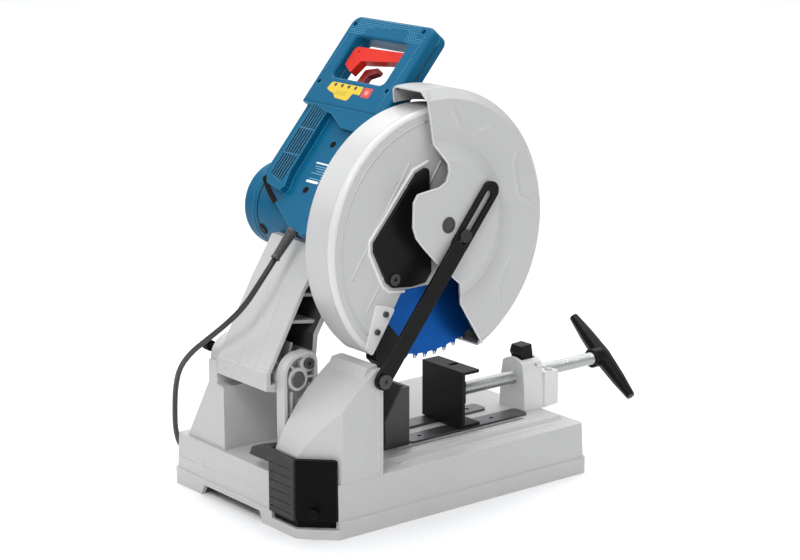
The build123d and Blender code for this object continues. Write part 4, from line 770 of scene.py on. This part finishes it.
def add_arm_shade_sheet():
    """Dark sheet in the open side of the arm, painted shade in its hollow: an open tray with a wall of its
    own.
    """
    outline = [(-192, 204), (-149.3, 281), (-122, 308), (-98.6, 291.8), (-122.4, 251), (-138.4, 224),
               (-140.3, 204)]
    n = len(outline)
    mouth, floor_back, floor_front, wall = -44, 53.6, 53.2, 0.5
    middle = Vector((-140, 0, 250))
    inset = []
    for x, z in outline:
        pull = (middle - Vector((x, 0, z))).normalized() * wall
        inset.append((x + pull.x, z + pull.z))
    verts = [(x, mouth, z) for x, z in outline] + [(x, floor_back, z) for x, z in outline]
    verts += [(x, mouth, z) for x, z in inset] + [(x, floor_front, z) for x, z in inset]
    faces = [tuple(range(n, 2 * n)), tuple(range(3 * n, 4 * n))]
    for i in range(n - 1):
        j = i + 1
        faces.append((i, j, n + j, n + i))
        faces.append((2 * n + i, 2 * n + j, 3 * n + j, 3 * n + i))
        faces.append((i, j, 2 * n + j, 2 * n + i))
    faces.append((0, n, 3 * n, 2 * n))
    faces.append((n - 1, 2 * n - 1, 4 * n - 1, 3 * n - 1))
    faces.append((n, 2 * n - 1, 4 * n - 1, 3 * n))
    piece("arm_shade_sheet", verts, faces, MATERIALS["painted_shade_dark"], "head")


def add_base_relief():
    """Long step line beside the bed, a pale line along its groove as a painted highlight on the groove's near
    edge, and the rib down the chute housing.
    """
    up = (0, 0, 1)
    bed = spread((-70, -128, 67), (180, -128, 67), 8)
    strip("bed_step", bed, 5.0, 1.0, up, MATERIALS["casting"], "base", "casting", tip=0.5)
    groove = spread((-40, -109.5, 72), (156, -109.5, 72), 6)
    strip("bed_groove_highlight", groove, 1.6, 0.25, up, MATERIALS["light_cast_and_highlight"], "base", "casting", tip=0.5)
    near = spread((-119, -148, 72), (-119, -148, 190), 8)
    strip("chute_rib", near, 5.0, 1.2, TO_BLADE_SIDE, MATERIALS["casting"], "base", "casting", tip=0.5)


def add_tooth_tips():
    """Brazed carbide tips, one on each tooth."""
    half_thick, tooth_depth = 1.15, 6
    outline = ((1.2, -3.1), (6.0, -2.9), (6.3, -0.9), (1.6, -1.2))
    verts, faces = [], []
    for i in range(TEETH):
        angle = 2 * pi * i / TEETH
        radial = Vector((cos(angle), 0, sin(angle)))
        along = Vector((-sin(angle), 0, cos(angle)))
        root = Vector((BLADE.x, 0, BLADE.z)) + radial * (BLADE_R - tooth_depth)
        base = len(verts)
        for y in (BLADE.y - half_thick, BLADE.y + half_thick):
            for a, b in outline:
                verts.append(root + radial * a + along * b + Vector((0, y, 0)))
        faces += [(base, base + 1, base + 2, base + 3), (base + 4, base + 5, base + 6, base + 7)]
        faces += [(base + k, base + (k + 1) % 4, base + 4 + (k + 1) % 4, base + 4 + k) for k in range(4)]
    piece("tooth_tips", verts, faces, MATERIALS["zinc"], "blade")


# ------------------------------------------------------------ far side
GEARBOX_FAR, GEARBOX_SCREWS_R = -40, 53
BRUSH_Y = 98.5
TOWER_SLOPE_OUT = (0, 0.85, 0.53)
FRONT_X, FLANGE_TOP = 218.6, 21       # the base's front wall starts here
WALL_DRAFT = 0.0524                   # and leans in by this slope


def round_button(name, centre, along, r, height, material, body, steps=20):
    """Small domed cap standing out of a surface."""
    along = Vector(along).normalized()
    across = along.orthogonal().normalized()
    other = along.cross(across)
    verts = []
    rings = ((r, -0.3), (r, height * 0.6), (r * 0.82, height))
    for reach, lift in rings:
        for k in range(steps):
            angle = 2 * pi * k / steps
            verts.append(centre + (across * cos(angle) + other * sin(angle)) * reach + along * lift)
    return piece(name, verts, ring_faces(len(rings), steps), material, body)


def around(centre, r, angle, y):
    """Point at a distance from an axis along Y; the angle, in degrees, runs up from +X."""
    a = radians(angle)
    return Vector((centre.x + r * cos(a), y, centre.z + r * sin(a)))


def add_far_side():
    """Brush caps, cooling slots, gearbox screws and ribs on the side away from the blade."""
    add_motor_details()
    for i, turn in enumerate((-75, -40, -5, 30, 65)):
        spot = around(BLADE, GEARBOX_SCREWS_R, turn, GEARBOX_FAR)
        round_button(f"gearbox_screw_{i}", spot, TO_FAR_SIDE, 3.6, 1.6, MATERIALS["zinc"], "head")
    under, crest = GEARBOX_FAR - 0.1, GEARBOX_FAR + 0.8
    lathe("gearbox_ring", [(42, under), (43, crest), (45, crest), (46, under)], BLADE, MATERIALS["casting"],
          "head", start=radians(-95), stop=radians(85))
    cast = partial(strip, material=MATERIALS["casting"], body="base", slot="casting", tip=0.5)
    for i, x in enumerate((-190, -160, -130)):
        line = spread((x, 129.2, 68.5), (x, 82.4, 146), 6)
        cast(f"tower_rib_{i}", line, 4.0, 1.2, TOWER_SLOPE_OUT, fade=1)
    cast("base_line_far", spread((-200, 148.9, 44), (204, 148.9, 44), 8), 3.0, 0.7, (0, 1, 0.05))
    for i, y in enumerate((-90, 90)):
        line = [(FRONT_X - WALL_DRAFT * (z - FLANGE_TOP), y, z) for z in (26, 36, 46, 56, 63)]
        cast(f"front_rib_{i}", line, 4.0, 0.8, (1, 0, 0.05), fade=1)


def add_motor_details():
    """Two brush caps with their screwdriver slots, and a row of cooling slots, on the motor barrel."""
    black = MATERIALS["bin_black"]
    for name, turn in (("front", 25), ("rear", 205)):
        out = (cos(radians(turn)), 0, sin(radians(turn)))
        round_button(f"brush_cap_{name}", around(MOTOR, MOTOR_R, turn, BRUSH_Y), out, 7.5, 1.4, black, "head")
        line = [around(MOTOR, MOTOR_R + 1.3, turn, BRUSH_Y + y) for y in (-5, 0, 5)]
        strip(f"brush_slot_{name}", line, 1.6, 0.4, out, MATERIALS["cap_grey"], "head", "bin_black", tip=0.6)
    # the cooling slots are dark strips on the barrel: painted shade in the openings
    for i in range(7):
        turn = -52 + 13 * i
        out = (cos(radians(turn)), 0, sin(radians(turn)))
        line = [around(MOTOR, MOTOR_R, turn, y) for y in (-22, -14, -6, 2, 10)]
        strip(f"exhaust_slot_{i}", line, 4.0, 0.25, out, black, "head", "bin_black", tip=0.9)


# ------------------------------------------------------------ vise
SPINDLE_Y, SPINDLE_Z = -53, 114


def add_spindle_thread():
    """Rolled trapezoid thread in place of the plain bar."""
    pitch, crest, root, steps = 3.0, 8.5, 7.5, 28
    x0, x1, per_turn = 65.0, 326.0, 8
    plain_front, plain_rear = 18, 4
    rows = int((x1 - x0) / pitch * per_turn)
    verts = []
    for i in range(rows + 1):
        x = x0 + (x1 - x0) * i / rows
        for k in range(steps):
            angle = 2 * pi * k / steps
            phase = (x / pitch - k / steps) % 1.0
            wave = min(1.0, max(0.0, 2.2 * abs(2 * phase - 1) - 0.5))
            plain = x < x0 + plain_front or x > x1 - plain_rear
            r = crest if plain else root + (crest - root) * wave
            verts.append((x, SPINDLE_Y + r * cos(angle), SPINDLE_Z + r * sin(angle)))
    faces = ring_faces(rows + 1, steps)
    thread = piece("threaded_spindle", verts, faces, MATERIALS["thread_zinc"], "spindle", smooth=True)
    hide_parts("vise_spindle")


# ------------------------------------------------------------ floor
def add_floor():
    material = finish_material("floor", (0.95, 0.95, 0.95), 0.7, vary=0.004, patch=1.5, grain=400.0,
                               bump=0.02)
    mesh = bpy.data.meshes.new("floor")
    half = 12
    corners = [(-half, -half, 0), (half, -half, 0), (half, half, 0), (-half, half, 0)]
    mesh.from_pydata(corners, [], [(0, 1, 2, 3)])
    mesh.materials.append(material)
    floor = bpy.data.objects.new("floor", mesh)
    bpy.context.collection.objects.link(floor)


add_camera()
add_studio()
add_floor()
dress_cad_nodes()
add_cord()
add_labels()
add_vents()
add_grip_texture()
add_housing_trim()
add_boot()
add_fixed_guard_relief()
add_swing_guard_relief()
add_swing_guard_lip()
add_guard_shade_sheets()
add_cover_rim()
add_rim_band()
add_arm_relief()
add_arm_shade_sheet()
add_base_relief()
add_tooth_tips()
add_far_side()
add_spindle_thread()
